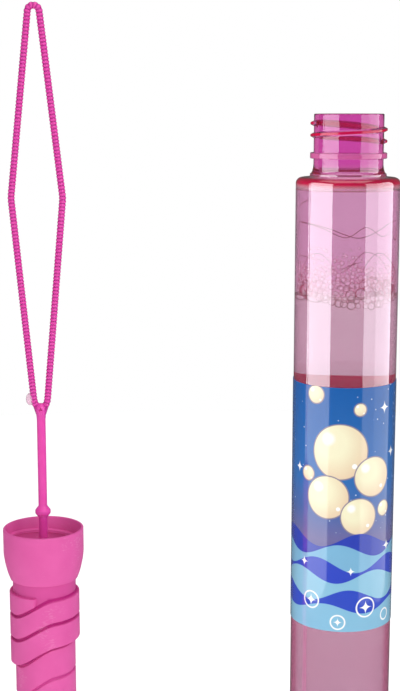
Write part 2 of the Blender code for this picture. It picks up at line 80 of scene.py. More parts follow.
# The bottle, its screw neck from the rim down
NECK_RADIUS = 12.5 * MM
NECK_BORE_RADIUS = 10.85 * MM
THREAD_RADIUS = 13.75 * MM
THREAD_PITCH = 4.23 * MM
THREAD_STEPS = 120
THREAD_FADE_TURN = 0.07
RING_TOP = BOTTLE_HIGH.z - 13.7 * MM
RING_BOTTOM = RING_TOP - 2.1 * MM
FLARE_TOP = RING_BOTTOM - 1.5 * MM
FLARE_DROP = 3.9 * MM
FLARE_RADIUS = 13.7 * MM
SHOULDER_TOP = FLARE_TOP - 5.2 * MM
THICK_EDGE = 2.2 * MM
RING_SHARE = 0.35
PANEL_RADIUS = BOTTLE_RADIUS - 0.3 * MM
STAND_WIDTH = 2.4 * MM
HEEL_ROUND = 3.0 * MM
PUSH_UP = 4.5 * MM

# The handle, in depths below its rim
COLLAR_STRAIGHT = 8.6 * MM
COLLAR_FOOT_DEPTH = 17.2 * MM
COLLAR_FOOT_RADIUS = 13.4 * MM
NECK_TOP_DEPTH = 19.4 * MM
NECK_LEVEL_RADIUS = 11.8 * MM
WRAPS_TOP_DEPTH = 24.0 * MM
POMMEL_TOP = SHELL_END + 9.0 * MM
POMMEL_RADIUS = 13.1 * MM
BARREL_BORE_RADIUS = 9.6 * MM
SEATED_RADIUS = 12.6 * MM
WASHER_TOP_DEPTH = 12.0 * MM
FLANGE_TOP_DEPTH = 14.1 * MM
DISC_THICKNESS = 1.8 * MM

# The wraps: two thick turns, then thin ones, with a groove that drops quickly in one part of each turn
THICK_RADIUS = 13.1 * MM
THIN_RADIUS = 11.35 * MM
THICK_TURNS = 2
THICK_PITCH = 9.4 * MM
THIN_PITCH = 12.0 * MM
THICK_GROOVE = 1.0
THIN_GROOVE = 0.55
GROOVE_START = math.radians(6.5)
GROOVE_DROP = 7.2 * MM
DROP_START, DROP_TURN = 0.2, 0.22
BLUNT_END_TURN = 1.735
GROOVE_TIP_TURN = 0.288
WRAP_EDGE = 0.4 * MM
GROOVE_HALF_WIDTH = 0.3 * MM
GROOVE_WALL_WIDTH = 0.55 * MM
# Depth at which a groove's painted shade is full, and the painted shade's share on the neck between the collar
# and the wraps
FULL_SHADE_DEPTH = 0.9 * MM
NECK_SHADE = 0.35
# Rows of points beside a groove, closest together where its wall is steep, and evenly spread between
NEAR_GROOVE = [distance * MM for distance in (0.0, 0.15, 0.3, 0.4, 0.5, 0.6, 0.72, 0.85, 1.1)]
MIDDLE_ROWS = 6

# The wand, in heights above the handle's rim
STEM_RADIUS = 1.62 * MM
STEM_FOOT = -23.3 * MM
STEM_LENGTH = 43.4 * MM
BEAD_RADIUS = 2.88 * MM
BEAD_HEIGHT = 6.2 * MM
CROTCH_HEIGHT = 48.3 * MM
WIDEST_HEIGHT = 123.0 * MM
LOOP_HALF_WIDTH = 9.325 * MM
FOOT_BEND_RADIUS = 6.0 * MM
SIDE_BEND_RADIUS = 14.0 * MM
TOP_BEND_RADIUS = 2.1 * MM
PLAIN_END = 4.0 * MM
# Half of the bead: height from its middle in millimetres, and share of its full swell
BEAD = ((0.4, 1.0), (0.6, 0.97), (0.85, 0.86), (2.1, 0.09), (2.5, 0.0))
# One rib: part of the pitch, and share of the notch's depth
RIB = ((0.12, 1.0), (0.28, 0.15), (0.5, 0.0), (0.72, 0.15), (0.88, 1.0))

# The label's print in millimetres, repeated twice around: its middle is 0 across, its lower edge 0 up
PRINT_WIDTH, PRINT_MIDDLE, PRINT_HEIGHT = 59.53, 29.77, 91.0
# The ground from mauve up to blue: part of the height, and colour
GROUND = ((0.25, "#5a5590"), (0.38, "#6f6aa0"), (0.5, "#4a69ac"), (0.62, "#2c6db6"))
# Across, up and radius of each bubble
BUBBLES = (
    (4.0, 83.0, 2.6), (-3.0, 67.5, 10.4), (-15.6, 58.5, 3.0), (9.6, 58.0, 7.6),
    (-7.6, 50.5, 8.2), (4.2, 43.5, 7.0), (-12.6, 88.0, 3.6), (15.0, 45.5, 3.2),
)
# Level, swing, shift along the wave and colour of each wave
WAVES = (
    (34.5, 2.6, 0.6, "#2b3fb4"), (30.5, 2.4, 2.2, "#7db6d8"), (25.0, 2.6, 4.0, "#3048c4"),
    (20.5, 2.2, 5.6, "#8cc3de"), (13.5, 2.4, 1.4, "#2f4cc6"), (8.5, 1.8, 3.2, "#8ac2e0"),
)
WAVE_REPEATS = 2
# Across, up and radius of each ring, and across, up and size of each sparkle
RINGS = ((-13.5, 11.0, 3.4), (7.5, 9.0, 3.9), (-3.0, 3.6, 2.9), (17.0, 4.5, 2.4))
SPARKLES = (
    (-13.5, 11.0, 2.6), (7.5, 9.0, 3.0), (-3.0, 3.6, 2.0), (19.5, 66.0, 2.6), (-20.5, 60.0, 2.4),
    (17.5, 31.0, 2.6), (-17.0, 25.0, 2.2), (14.5, 83.0, 2.8), (1.5, 23.0, 2.0),
)
OUTLINE_WIDTH, RING_WIDTH = 0.45, 0.55
PRINT_SOFT = 0.12

# The foam, row by row: bubble radius, height above the solution and spread of it in millimetres, share of the
# bubbles kept, and how far the row follows the foam's heaps
FOAM_ROWS = (
    (1.4, -0.9, 0.25, 1.0, -1.5),
    (1.2, 0.4, 0.6, 0.9, -1.0),
    (2.0, 1.8, 0.8, 0.5, -0.3),
    (1.1, 2.2, 1.0, 0.8, 0.3),
    (1.0, 3.8, 1.2, 0.85, 1.0),
    (0.9, 5.6, 1.4, 0.75, 1.0),
    (0.8, 7.6, 1.6, 0.6, 1.0),
    (0.7, 9.8, 2.0, 0.4, 1.0),
    (0.6, 13.0, 2.5, 0.2, 1.0),
)
HEAP_HEIGHT = 1.3
LARGE_BUBBLE = 1.2 * MM

# Where soap films meet the wall, point by point: angle to the right of the front in degrees, and height above
# the solution in millimetres
FILM_ROUTES = (
    ((-84, 26.0), (-66, 25.8), (-45, 25.5), (-25, 24.2), (-9, 22.4), (6, 21.2), (19, 22.0), (34, 24.0),
     (52, 26.2), (80, 26.8)),
    ((-82, 14.2), (-58, 13.8), (-38, 12.6)),
    ((-16, 9.5), (0, 11.8), (11, 12.8)),
    ((10, 8.0), (17, 12.2), (28, 15.4), (40, 15.2), (52, 12.4), (66, 8.0), (78, 2.0)),
    ((14, 8.4), (26, 6.6), (42, 5.6), (62, 6.2)),
    ((-78, 31.0), (-62, 33.4), (-46, 34.6)),
    ((60, 25.0), (68, 22.4), (64, 19.6), (56, 21.0), (48, 20.6)),
    ((100, 24.0), (125, 20.0), (150, 23.0), (175, 19.0), (205, 22.5), (235, 25.0), (262, 26.0)),
    ((110, 6.0), (130, 12.0), (152, 13.5), (170, 8.0), (184, 5.0)),
    ((190, 8.0), (208, 13.0), (230, 12.0), (246, 6.0)),
)
POINTS_PER_LEG = 8
WET_RIM_RADIUS = 0.14 * MM

# The stage. The lamps beside the bottle: name, azimuth in degrees, width and radiance, then what they light, by
# group: name, strength, tint and pieces
BESIDE_LAMPS = (("left", -68.0, 0.289, 4.6), ("right", 47.5, 0.129, 2.5), ("far right", 85.0, 0.212, 3.4))
NEUTRAL, LILAC = WHITE, "#f8f8ff"
BESIDE_GROUPS = (
    ("clear", 1.1, LILAC, ("bottle_clear", "solution_body")),
    ("foam", 0.5, NEUTRAL, ("foam_cells", "film_rims")),
    ("label", 0.25, NEUTRAL, ("label_wrap",)),
)
HANDLE_PIECES = ("grip_moulding", "seal_ring", "stem_socket", "barrel_plug", "wand_moulding", "soap_drop")
CAMERA_PLACE = (0.0008, -0.506, 0.26607)
FLOOR_RADIUS = 0.7
BACKDROP_SIZE, BACKDROP_PLACE = 3.0, (0.0, 2.6, 1.0)


def linear(hex_colour):
    """The three linear numbers of an sRGB hex colour."""
    channels = [int(hex_colour[i:i + 2], 16) / 255.0 for i in (1, 3, 5)]
    return tuple(c / 12.92 if c <= 0.04045 else ((c + 0.055) / 1.055) ** 2.4 for c in channels)


def colour(hex_or_setting):
    """A colour socket's four numbers, from a hex value or a colour setting."""
    return (*(linear(hex_or_setting) if isinstance(hex_or_setting, str) else hex_or_setting), 1.0)


def smooth(t):
    """An eased step from 0 to 1."""
    t = min(max(t, 0.0), 1.0)
    return t * t * (3.0 - 2.0 * t)


# Materials


def add_node(material, kind, sockets=None, **settings):
    """Adds a node with its settings; a socket takes a value, or is fed by the node or output given for it."""
    tree = material.node_tree
    node = tree.nodes.new("ShaderNode" + kind)
    for key, value in settings.items():
        setattr(node, key, value)
    for socket, source in (sockets or {}).items():
        if isinstance(source, bpy.types.Node):
            source = source.outputs[0]
        if isinstance(source, bpy.types.NodeSocket):
            tree.links.new(source, node.inputs[socket])
        else:
            node.inputs[socket].default_value = source
    return node


def new_material(name):
    """An empty node material, and the piece's own coordinates in metres."""
    made = bpy.data.materials.new(name)
    made.use_nodes = True
    made.node_tree.nodes.clear()
    return made, add_node(made, "TexCoord").outputs["Object"]


def put_out(made, **shaders):
    """Feeds the material's output with its Surface and, where it has one, its Volume."""
    add_node(made, "OutputMaterial", shaders)
    return made


def span(source, low, high, at_low=0.0, at_high=1.0):
    """A Map Range node's sockets: low to high of the source becomes at_low to at_high."""
    return {"Value": source, "From Min": low, "From Max": high, "To Min": at_low, "To Max": at_high}


def layer(material, under, over, cover, blend="MIX"):
    """One colour laid on another by how far it covers; each is a colour or what feeds it."""
    sources = (bpy.types.Node, bpy.types.NodeSocket)
    under, over = (c if isinstance(c, sources) else colour(c) for c in (under, over))
    sockets = {0: cover, 6: under, 7: over}
    return add_node(material, "Mix", sockets, data_type="RGBA", blend_type=blend).outputs[2]


def set_stops(ramp, *stops):
    """Gives a colour ramp its positions and colours, from the lowest to the highest."""
    elements = ramp.color_ramp.elements
    elements[0].position, elements[0].color = stops[0][0], colour(stops[0][1])
    elements[1].position, elements[1].color = stops[-1][0], colour(stops[-1][1])
    for position, shade in stops[1:-1]:
        elements.new(position).color = colour(shade)


def clear_pet(bottle):
    """Blow-moulded PET dyed pink: hard, clear, glossy and faintly wavy, darker where light goes along it."""
    made, place = new_material("clear pink PET, stretch blow-moulded")
    # The parison's flow leaves upright waves some 9 mm apart.
    stretched = add_node(made, "Mapping", {"Vector": place, "Scale": (1.0, 1.0, 0.18)})
    waves = add_node(made, "TexNoise", {"Vector": stretched, "Scale": 110.0, "Detail": 1.0})
    bump = add_node(made, "Bump", {"Height": waves, "Strength": 0.12, "Distance": 0.4 * MM})
    # Handling leaves a slight haze in patches of about 15 mm.
    haze = add_node(made, "TexNoise", {"Vector": place, "Scale": 65.0, "Detail": 3.0})
    roughness = add_node(made, "MapRange", span(haze, 0.35, 0.75, 0.015, 0.06))
    tint = layer(made, "#eeefee", "#e7e6e7", haze)
    # The wall's thickness, and with it the dye, goes with the height: the neck isn't stretched at all.
    height = add_node(made, "SeparateXYZ", {0: place}).outputs["Z"]
    deeper = add_node(made, "ValToRGB", {0: add_node(made, "MapRange", span(height, 0.0, BOTTLE_HIGH.z))})
    levels = (
        (0.0, "#f3ecf0"),
        (LABEL_LOW.z, "#f6f0f2"),
        (LABEL_HIGH.z, WHITE),
        (SOLUTION_TOP, WHITE),
        (SOLUTION_TOP + 3.0 * MM, "#ffedfc"),
        (SHOULDER_TOP, "#ffecfc"),
        (FLARE_TOP, bottle.neck_tint),
        (BOTTLE_HIGH.z, bottle.neck_tint),
    )
    set_stops(deeper, *((level / BOTTLE_HIGH.z, shade) for level, shade in levels))
    dyed = layer(made, tint, deeper, 1.0, "MULTIPLY")
    # Below the label the eye looks a long way through the wall at its edges, and there the dye shows crimson.
    facing = add_node(made, "LayerWeight", {"Blend": 0.5}).outputs["Facing"]
    edge = add_node(made, "MapRange", span(facing, 0.5, 0.64))
    low = add_node(made, "MapRange", span(height, LABEL_LOW.z - 1.0 * MM, LABEL_LOW.z, 1.0, 0.0))
    low_edge = add_node(made, "Math", {0: edge, 1: low}, operation="MULTIPLY")
    dyed = layer(made, dyed, "#f695bc", low_edge, "MULTIPLY")
    # The thread, the ring and the shoulder's edge are thick: light goes along in them and comes out red.
    thick = add_node(made, "Attribute", attribute_name="thick").outputs["Fac"]
    shader = add_node(made, "BsdfPrincipled", {
        "Base Color": layer(made, dyed, bottle.edge_colour, thick),
        "Transmission Weight": add_node(made, "MapRange", span(thick, 0.0, 1.0, 1.0, 0.45)),
        "Roughness": roughness,
        "Normal": bump,
        "IOR": 1.57,
        # The neck keeps the mould's duller skin; the wall below it was stretched to a high gloss.
        "Specular IOR Level": add_node(made, "MapRange", span(height, SHOULDER_TOP, FLARE_TOP, 0.5, 0.25)),
        "Coat Weight": add_node(made, "MapRange", span(height, SHOULDER_TOP, FLARE_TOP, bottle.gloss, 0.0)),
        "Coat Roughness": 0.02,
        "Coat IOR": 1.7,
    })
    dye = add_node(made, "VolumeAbsorption", {"Color": colour(bottle.dye), "Density": bottle.dye_density})
    return put_out(made, Surface=shader, Volume=dye)


def soap_solution(solution):
    """Water with soap and a trace of dye: clear, in slow swirls that differ a little in tint."""
    made, place = new_material("bubble solution, soapy water")
    # Swirls of soap, about 12 mm across
    swirls = add_node(made, "TexNoise", {"Vector": place, "Scale": 80.0, "Detail": 2.0, "Distortion": 1.5})
    tint = layer(made, WHITE, "#fbeef5", swirls)
    shader = add_node(made, "BsdfPrincipled", {
        "Base Color": tint, "IOR": 1.333, "Transmission Weight": 1.0, "Roughness": 0.0,
    })
    water = add_node(made, "VolumeAbsorption", {
        "Color": colour(solution.tint), "Density": solution.tint_density,
    })
    return put_out(made, Surface=shader, Volume=water)


def soap_film(name, rim, face, rim_alpha, face_alpha, edge_from=0.3, edge_to=0.75):
    """Thin soap film: faint face on, and a pink line where the eye looks along it."""
    made, place = new_material(name)
    facing = add_node(made, "LayerWeight", {"Blend": 0.5}).outputs["Facing"]
    edge = add_node(made, "MapRange", span(facing, edge_from, edge_to))
    # The film drains in streaks of about 2 mm.
    streaks = add_node(made, "TexNoise", {"Vector": place, "Scale": 500.0, "Detail": 2.0})
    pink = add_node(made, "Math", {0: streaks, 1: 0.25, 2: edge}, operation="MULTIPLY_ADD")
    shader = add_node(made, "BsdfPrincipled", {
        "Base Color": layer(made, face, rim, pink),
        "Alpha": add_node(made, "MapRange", span(edge, 0.0, 1.0, face_alpha, rim_alpha)),
        "IOR": 1.33, "Roughness": 0.05, "Specular IOR Level": 0.2,
    })
    return put_out(made, Surface=shader)


def moulded_pe(name, handle, grain_scale, shine, scuffs):
    """Injection-moulded polyethylene: matte and waxy, a fine spark-eroded grain, paler where it is scuffed."""
    made, place = new_material(name)
    # Pigment that mixed unevenly, in clouds of about 7 mm
    clouds = add_node(made, "TexNoise", {"Vector": place, "Scale": 140.0, "Detail": 3.0})
    # Painted shade: the grooves and the neck between the collar and the wraps are coloured a deeper, darker
    # pink that stands in for the shade falling in them.
    hollow = add_node(made, "Attribute", attribute_name="hollow").outputs["Fac"]
    body = layer(made, handle.colour, handle.pale_colour, clouds)
    groove_shaded = layer(made, body, handle.groove_shade_colour, hollow)
    # Scuffs from other wands in the carton: short streaks of some 1.6 mm by 0.6 mm, here and there
    streaked = add_node(made, "Mapping", {"Vector": place, "Scale": (1.0, 1.0, 2.6)})
    marks = add_node(made, "TexNoise", {
        "Vector": streaked, "Scale": 620.0, "Detail": 2.0, "Roughness": 0.7, "Distortion": 0.6,
    })
    patches = add_node(made, "TexNoise", {"Vector": place, "Scale": 95.0, "Detail": 1.0})
    worn = add_node(made, "Math", {0: marks, 1: patches}, operation="MULTIPLY")
    scuffed = add_node(made, "MapRange", span(worn, 0.36, 0.43, 0.0, scuffs))
    # The mould's grain is about 0.15 mm; it is drawn at about 0.35 mm so that it shows.
    grain = add_node(made, "TexNoise", {"Vector": place, "Scale": grain_scale, "Detail": 3.0})
    shader = add_node(made, "BsdfPrincipled", {
        "Base Color": layer(made, groove_shaded, handle.scuff_colour, scuffed),
        "Roughness": add_node(made, "MapRange", span(clouds, 0.3, 0.7, shine, shine + 0.12)),
        "Normal": add_node(made, "Bump", {"Height": grain, "Strength": 0.35, "Distance": 0.05 * MM}),
        "IOR": 1.5, "Specular IOR Level": 0.4,
    })
    return put_out(made, Surface=shader)


def soft_ldpe(wand):
    """Injection-moulded low-density polyethylene: bendy, slightly see-through, with a soft waxy shine."""
    made, place = new_material("bright pink LDPE, injection moulded")
    # Flow marks about 5 mm long
    flow = add_node(made, "TexNoise", {"Vector": place, "Scale": 210.0, "Detail": 2.0})
    # Painted shade: the notches between the ribs are coloured a darker pink that stands in for the shade in
    # them.
    notch = add_node(made, "Attribute", attribute_name="hollow").outputs["Fac"]
    body = layer(made, wand.colour, wand.pale_colour, flow)
    # A satin mould face, grain 0.25 mm
    grain = add_node(made, "TexNoise", {"Vector": place, "Scale": 4000.0, "Detail": 1.0})
    shader = add_node(made, "BsdfPrincipled", {
        "Base Color": layer(made, body, wand.notch_shade_colour, notch),
        "Roughness": add_node(made, "MapRange", span(flow, 0.3, 0.7, 0.34, 0.46)),
        "Normal": add_node(made, "Bump", {"Height": grain, "Strength": 0.15, "Distance": 0.03 * MM}),
        "IOR": 1.51, "Subsurface Weight": 0.25, "Subsurface Radius": (1.0, 0.35, 0.6),
        "Subsurface Scale": 1.2 * MM,
    })
    return put_out(made, Surface=shader)


def foam_seal():
    """Expanded polyethylene liner: chalky white and soft, with closed cells of about 0.4 mm."""
    made, place = new_material("white EPE foam liner")
    cells = add_node(made, "TexVoronoi", {"Vector": place, "Scale": 2500.0})
    shader = add_node(made, "BsdfPrincipled", {
        "Base Color": layer(made, "#f4eff1", "#e3dadd", cells),
        "Normal": add_node(made, "Bump", {"Height": cells, "Strength": 0.5, "Distance": 0.1 * MM}),
        "Roughness": 0.75,
    })
    return put_out(made, Surface=shader)


def disc_cover(material, spot, x, height, radius, soft=PRINT_SOFT):
    """1 inside a circle of the label, in millimetres, and 0 outside it."""
    centre = {0: spot, 1: (x, height, 0.0)}
    away = add_node(material, "VectorMath", centre, operation="DISTANCE").outputs["Value"]
    return add_node(material, "MapRange", span(away, radius - soft, radius + soft, 1.0, 0.0))


def printed_bubble(material, under, spot, x, height, radius, label):
    """A printed soap bubble: a cream disc shaded to peach, a darker outline and two white glints."""
    inside = disc_cover(material, spot, x, height, radius)
    shade = disc_cover(material, spot, x - 0.3 * radius, height + 0.3 * radius, radius, 0.5 * radius)
    rim = disc_cover(material, spot, x, height, radius - OUTLINE_WIDTH)
    core = add_node(material, "Math", {0: shade, 1: rim}, operation="MULTIPLY")
    left, above = x - 0.42 * radius, height + 0.45 * radius
    glint = disc_cover(material, spot, left, above, 0.2 * radius, 0.08 * radius)
    spark = disc_cover(material, spot, x + 0.5 * radius, height - 0.5 * radius, 0.09 * radius)
    for over, cover in (
        (label.outline, inside), (label.peach, rim), (label.cream, core), (WHITE, glint), (WHITE, spark)
    ):
        under = layer(material, under, over, cover)
    return under


def printed_sparkle(material, under, spot, x, height, size):
    """A white four-pointed sparkle."""
    away = add_node(material, "VectorMath", {0: spot, 1: (x, height, 0.0)}, operation="SUBTRACT")
    mirrored = add_node(material, "VectorMath", {0: away}, operation="ABSOLUTE")
    parts = add_node(material, "SeparateXYZ", {0: mirrored}).outputs
    roots = [add_node(material, "Math", {0: parts[i], 1: 0.5}, operation="POWER") for i in (0, 1)]
    total = add_node(material, "Math", {0: roots[0], 1: roots[1]}, operation="ADD")
    edge = math.sqrt(size)
    cover = add_node(material, "MapRange", span(total, edge - 0.12, edge + 0.02, 1.0, 0.0))
    return layer(material, under, WHITE, cover)


def printed_wave(material, under, across, up, level, swing, shift, over):
    """Everything below a wavy line of the label takes the given colour."""
    turn = math.tau * WAVE_REPEATS / PRINT_WIDTH
    phase = add_node(material, "Math", {0: across, 1: turn, 2: shift}, operation="MULTIPLY_ADD")
    wave = add_node(material, "Math", {0: phase}, operation="SINE")
    line = add_node(material, "Math", {0: wave, 1: swing, 2: level}, operation="MULTIPLY_ADD")
    below = add_node(material, "Math", {0: line, 1: up}, operation="SUBTRACT")
    return layer(material, under, over, add_node(material, "MapRange", span(below, -PRINT_SOFT, PRINT_SOFT)))


def printed_film(label):
    """A gloss-laminated BOPP wrap label, offset printed in blues and cream with bubbles over waves."""
    made, place = new_material("printed BOPP wrap label, gloss laminated")
    wrap = add_node(made, "SeparateXYZ", {0: add_node(made, "UVMap", uv_map="wrap")}).outputs
    # The print repeats twice around the 119 mm girth, its middle at the front and at the back.
    doubled = add_node(made, "Math", {0: wrap[0], 1: 2.0, 2: 0.5}, operation="MULTIPLY_ADD")
    part = add_node(made, "Math", {0: doubled}, operation="FRACT")
    centred = {0: part, 1: PRINT_WIDTH, 2: -PRINT_MIDDLE}
    across = add_node(made, "Math", centred, operation="MULTIPLY_ADD")
    up = add_node(made, "Math", {0: wrap[1], 1: PRINT_HEIGHT}, operation="MULTIPLY")
    spot = add_node(made, "CombineXYZ", {0: across, 1: up})
    ground = add_node(made, "ValToRGB", {0: wrap[1]})
    set_stops(ground, *GROUND, (1.0, label.blue))
    # A mist of small printed dots, 1 in every 3 mm
    dots = add_node(made, "TexVoronoi", {"Vector": spot, "Scale": 0.3, "Randomness": 1.0})
    misted = add_node(made, "MapRange", span(dots.outputs["Distance"], 0.06, 0.1, 0.75, 0.0))
    ink = layer(made, ground, "#cfe2f4", misted)
    for bubble in BUBBLES:
        ink = printed_bubble(made, ink, spot, *bubble, label)
    for wave in WAVES:
        ink = printed_wave(made, ink, across, up, *wave)
    for x, height, radius in RINGS:
        outer = disc_cover(made, spot, x, height, radius)
        inner = disc_cover(made, spot, x, height, radius - RING_WIDTH)
        ink = layer(made, ink, WHITE, add_node(made, "Math", {0: outer, 1: inner}, operation="SUBTRACT"))
    for sparkle in SPARKLES:
        ink = printed_sparkle(made, ink, spot, *sparkle)
    # The film follows the wall with ripples of about 8 mm.
    ripple = add_node(made, "TexNoise", {"Vector": place, "Scale": 120.0, "Detail": 1.0})
    shader = add_node(made, "BsdfPrincipled", {
        "Base Color": ink,
        "Roughness": add_node(made, "MapRange", span(ripple, 0.3, 0.7, 0.12, 0.2)),
        "Normal": add_node(made, "Bump", {"Height": ripple, "Strength": 0.1, "Distance": 0.3 * MM}),
        "IOR": 1.49, "Coat Weight": 1.0, "Coat Roughness": 0.04, "Coat IOR": 1.8,
    })
    return put_out(made, Surface=shader)


def label_back(label):
    """The label's glued side: the print's ink seen from behind, through glue that went on unevenly."""
    made, place = new_material("glued side of the label, adhesive over ink")
    # Glue laid on in patches of about 4 mm
    glue = add_node(made, "TexNoise", {"Vector": place, "Scale": 250.0, "Detail": 2.0})
    body = layer(made, label.reverse, "#e0045c", glue)
    # The glue wets the bottle, so that nothing glints between them.
    matte = {"Base Color": body, "Roughness": 0.6, "Specular IOR Level": 0.0}
    return put_out(made, Surface=add_node(made, "BsdfPrincipled", matte))


# Shapes


def arc(radius, height, size, from_deg, to_deg, steps):
    """Profile points on a round about (radius, height), 0 degrees pointing outward."""
    angles = [math.radians(from_deg + (to_deg - from_deg) * i / steps) for i in range(steps + 1)]
    return [(radius + size * math.cos(angle), height + size * math.sin(angle)) for angle in angles]


def turned(profile, steps, closed=True):
    """A bmesh of the (radius, height) profile spun about Z, closed at the axis where it touches it."""
    bm = bmesh.new()
    verts = [bm.verts.new((radius, 0.0, height)) for radius, height in profile]
    ends = zip(verts, verts[1:] + verts[:1]) if closed else zip(verts, verts[1:])
    edges = [bm.edges.new(pair) for pair in ends]
    bmesh.ops.spin(bm, geom=verts + edges, angle=math.tau, steps=steps, use_merge=True, **ABOUT_Z)
    bmesh.ops.remove_doubles(bm, verts=bm.verts, dist=1e-7)
    bmesh.ops.dissolve_degenerate(bm, edges=bm.edges, dist=1e-7)
    bare = [edge for edge in bm.edges if not edge.link_faces]
    bmesh.ops.delete(bm, geom=bare, context="EDGES")
    bmesh.ops.recalc_face_normals(bm, faces=bm.faces)
    return bm


def soften(bm, width, least_deg=30.0):
    """Rounds the edges that turn more sharply than the least angle."""
    least = math.radians(least_deg)
    sharp = [edge for edge in bm.edges if edge.is_manifold and edge.calc_face_angle(0.0) > least]
    bmesh.ops.bevel(
        bm, geom=sharp, offset=width, affect="EDGES", segments=2, profile=0.5, material=-1, clamp_overlap=True
    )
    return bm


def screw_ridge(turns, root, crest, buried, start_deg, top):
    """A right-hand thread, from its top downward, its ends fading into the wall."""
    steps = round(turns * THREAD_STEPS)
    bm = bmesh.new()
    flat, side, foot = 0.15 * MM, 0.4 * MM, 1.15 * MM
    top_of_crest = crest + 0.05 * MM
    section = [
        (root, -foot), (crest, -side), (top_of_crest, -flat), (top_of_crest, flat), (crest, side), (root, foot)
    ]
    verts = [bm.verts.new((radius, 0.0, top + height)) for radius, height in section]
    start = bm.faces.new(verts)
    sweep = -math.tau * steps / THREAD_STEPS
    drop = (0.0, 0.0, -THREAD_PITCH / THREAD_STEPS)
    bmesh.ops.spin(bm, geom=[start, *start.edges, *verts], dvec=drop, angle=sweep, steps=steps, **ABOUT_Z)
    for vert in bm.verts:
        radius = vert.co.xy.length
        angle = (-math.atan2(vert.co.y, vert.co.x) / math.tau) % 1.0
        made = round((top - vert.co.z) / THREAD_PITCH - angle) + angle
        rise = smooth(min(made, turns - made) / THREAD_FADE_TURN)
        if abs(radius - root) > 1e-6:
            radius = buried + (radius - buried) * rise
            vert.co.xy = vert.co.xy.normalized() * radius
    turn = Matrix.Rotation(math.radians(start_deg), 3, "Z")
    bmesh.ops.rotate(bm, verts=bm.verts, cent=(0.0, 0.0, 0.0), matrix=turn)
    bmesh.ops.recalc_face_normals(bm, faces=bm.faces)
    return bm


def outward(bm):
    """Turns the faces of a closed shape outward."""
    bmesh.ops.recalc_face_normals(bm, faces=bm.faces)
    if bm.calc_volume(signed=True) < 0.0:
        bmesh.ops.reverse_faces(bm, faces=bm.faces)
    return bm


def gathered(parts):
    """One bmesh of separate bmeshes."""
    whole = bmesh.new()
    for part in parts:
        mesh = bpy.data.meshes.new("part")
        part.to_mesh(mesh)
        part.free()
        whole.from_mesh(mesh)
        bpy.data.meshes.remove(mesh)
    return whole


def loose_object(bm, name):
    """An object of the bmesh in the scene, not yet on a body."""
    mesh = bpy.data.meshes.new(name)
    bm.to_mesh(mesh)
    bm.free()
    made = bpy.data.objects.new(name, mesh)
    bpy.context.scene.collection.objects.link(made)
    return made


def melted(base, additions=(), cuts=()):
    """One closed bmesh of the base with the additions joined and the cuts taken out, by exact Booleans."""
    target = loose_object(base, "base")
    helpers = []
    for operation, shapes in (("UNION", additions), ("DIFFERENCE", cuts)):
        for shape in shapes:
            helpers.append(loose_object(shape, "shape"))
            change = target.modifiers.new(operation.title(), "BOOLEAN")
            change.operation, change.solver, change.object = operation, "EXACT", helpers[-1]
    depsgraph = bpy.context.evaluated_depsgraph_get()
    mesh = bpy.data.meshes.new_from_object(target.evaluated_get(depsgraph))
    bm = bmesh.new()
    bm.from_mesh(mesh)
    bpy.data.meshes.remove(mesh)
    for old in (target, *helpers):
        old_mesh = old.data
        bpy.data.objects.remove(old)
        bpy.data.meshes.remove(old_mesh)
    return bm


def finished(bm, name, body, materials, nodes=(), x=0.0, z=0.0, sharp_deg=40.0, shadows=True):
    """Makes the bmesh a piece in its place that rides on its body and stands for its CAD nodes."""
    bmesh.ops.translate(bm, verts=bm.verts, vec=(x, 0.0, z))
    made = loose_object(bm, name)
    made.data.shade_smooth()
    made.data.set_sharp_from_angle(angle=math.radians(sharp_deg))
    for material in materials:
        made.data.materials.append(material)
    made.visible_shadow = shadows
    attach(made, body)
    if nodes:
        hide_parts(*nodes)
    return made


def mark_points(made, name, share):
    """Writes a number from 0 to 1 for each point of the piece, which its material reads."""
    marks = made.data.attributes.new(name, "FLOAT", "POINT")
    for i, vert in enumerate(made.data.vertices):
        marks.data[i].value = share(vert.co)


# The bottle


def dome(radius, foot, steps=8):
    """The base's push-up, from its foot to its top on the axis."""
    points = []
    for i in range(1, steps + 1):
        turn = math.radians(90.0 * i / steps)
        points.append((radius * math.cos(turn) if i < steps else 0.0, foot + PUSH_UP * math.sin(turn)))
    return points


def bottle_outside():
    """The outside from the rim to the middle of the base, plain where the label hides its shallow panel."""
    rim, ring, fillet, shoulder = 0.35 * MM, 0.3 * MM, 0.9 * MM, 2.2 * MM
    top, ring_radius = BOTTLE_HIGH.z, THREAD_RADIUS - ring
    wall_radius, stand_inner = BOTTLE_RADIUS - shoulder, BOTTLE_RADIUS - HEEL_ROUND - STAND_WIDTH
    flare = []
    for i in range(11):
        turn = math.radians(9.0 * i)
        widened = (FLARE_RADIUS - NECK_RADIUS) * (1.0 - math.cos(turn))
        flare.append((NECK_RADIUS + widened, FLARE_TOP - FLARE_DROP * math.sin(turn)))
    return [
        *arc(NECK_RADIUS - rim, top - rim, rim, 90, 0, 4),
        (NECK_RADIUS, RING_TOP),
        *arc(ring_radius, RING_TOP - ring, ring, 90, 0, 3),
        *arc(ring_radius, RING_BOTTOM + ring, ring, 0, -90, 3),
        (NECK_RADIUS, RING_BOTTOM),
        *flare,
        *arc(FLARE_RADIUS + fillet, SHOULDER_TOP + fillet, fillet, 180, 270, 4),
        *arc(wall_radius, SHOULDER_TOP - shoulder, shoulder, 90, 0, 10),
        # The thick edge's red ends at this ring of points.
        (BOTTLE_RADIUS, SHOULDER_TOP - shoulder - THICK_EDGE),
        *arc(BOTTLE_RADIUS - HEEL_ROUND, HEEL_ROUND, HEEL_ROUND, 0, -90, 8),
        (stand_inner, 0.0),
        *dome(stand_inner, 0.0),
    ]


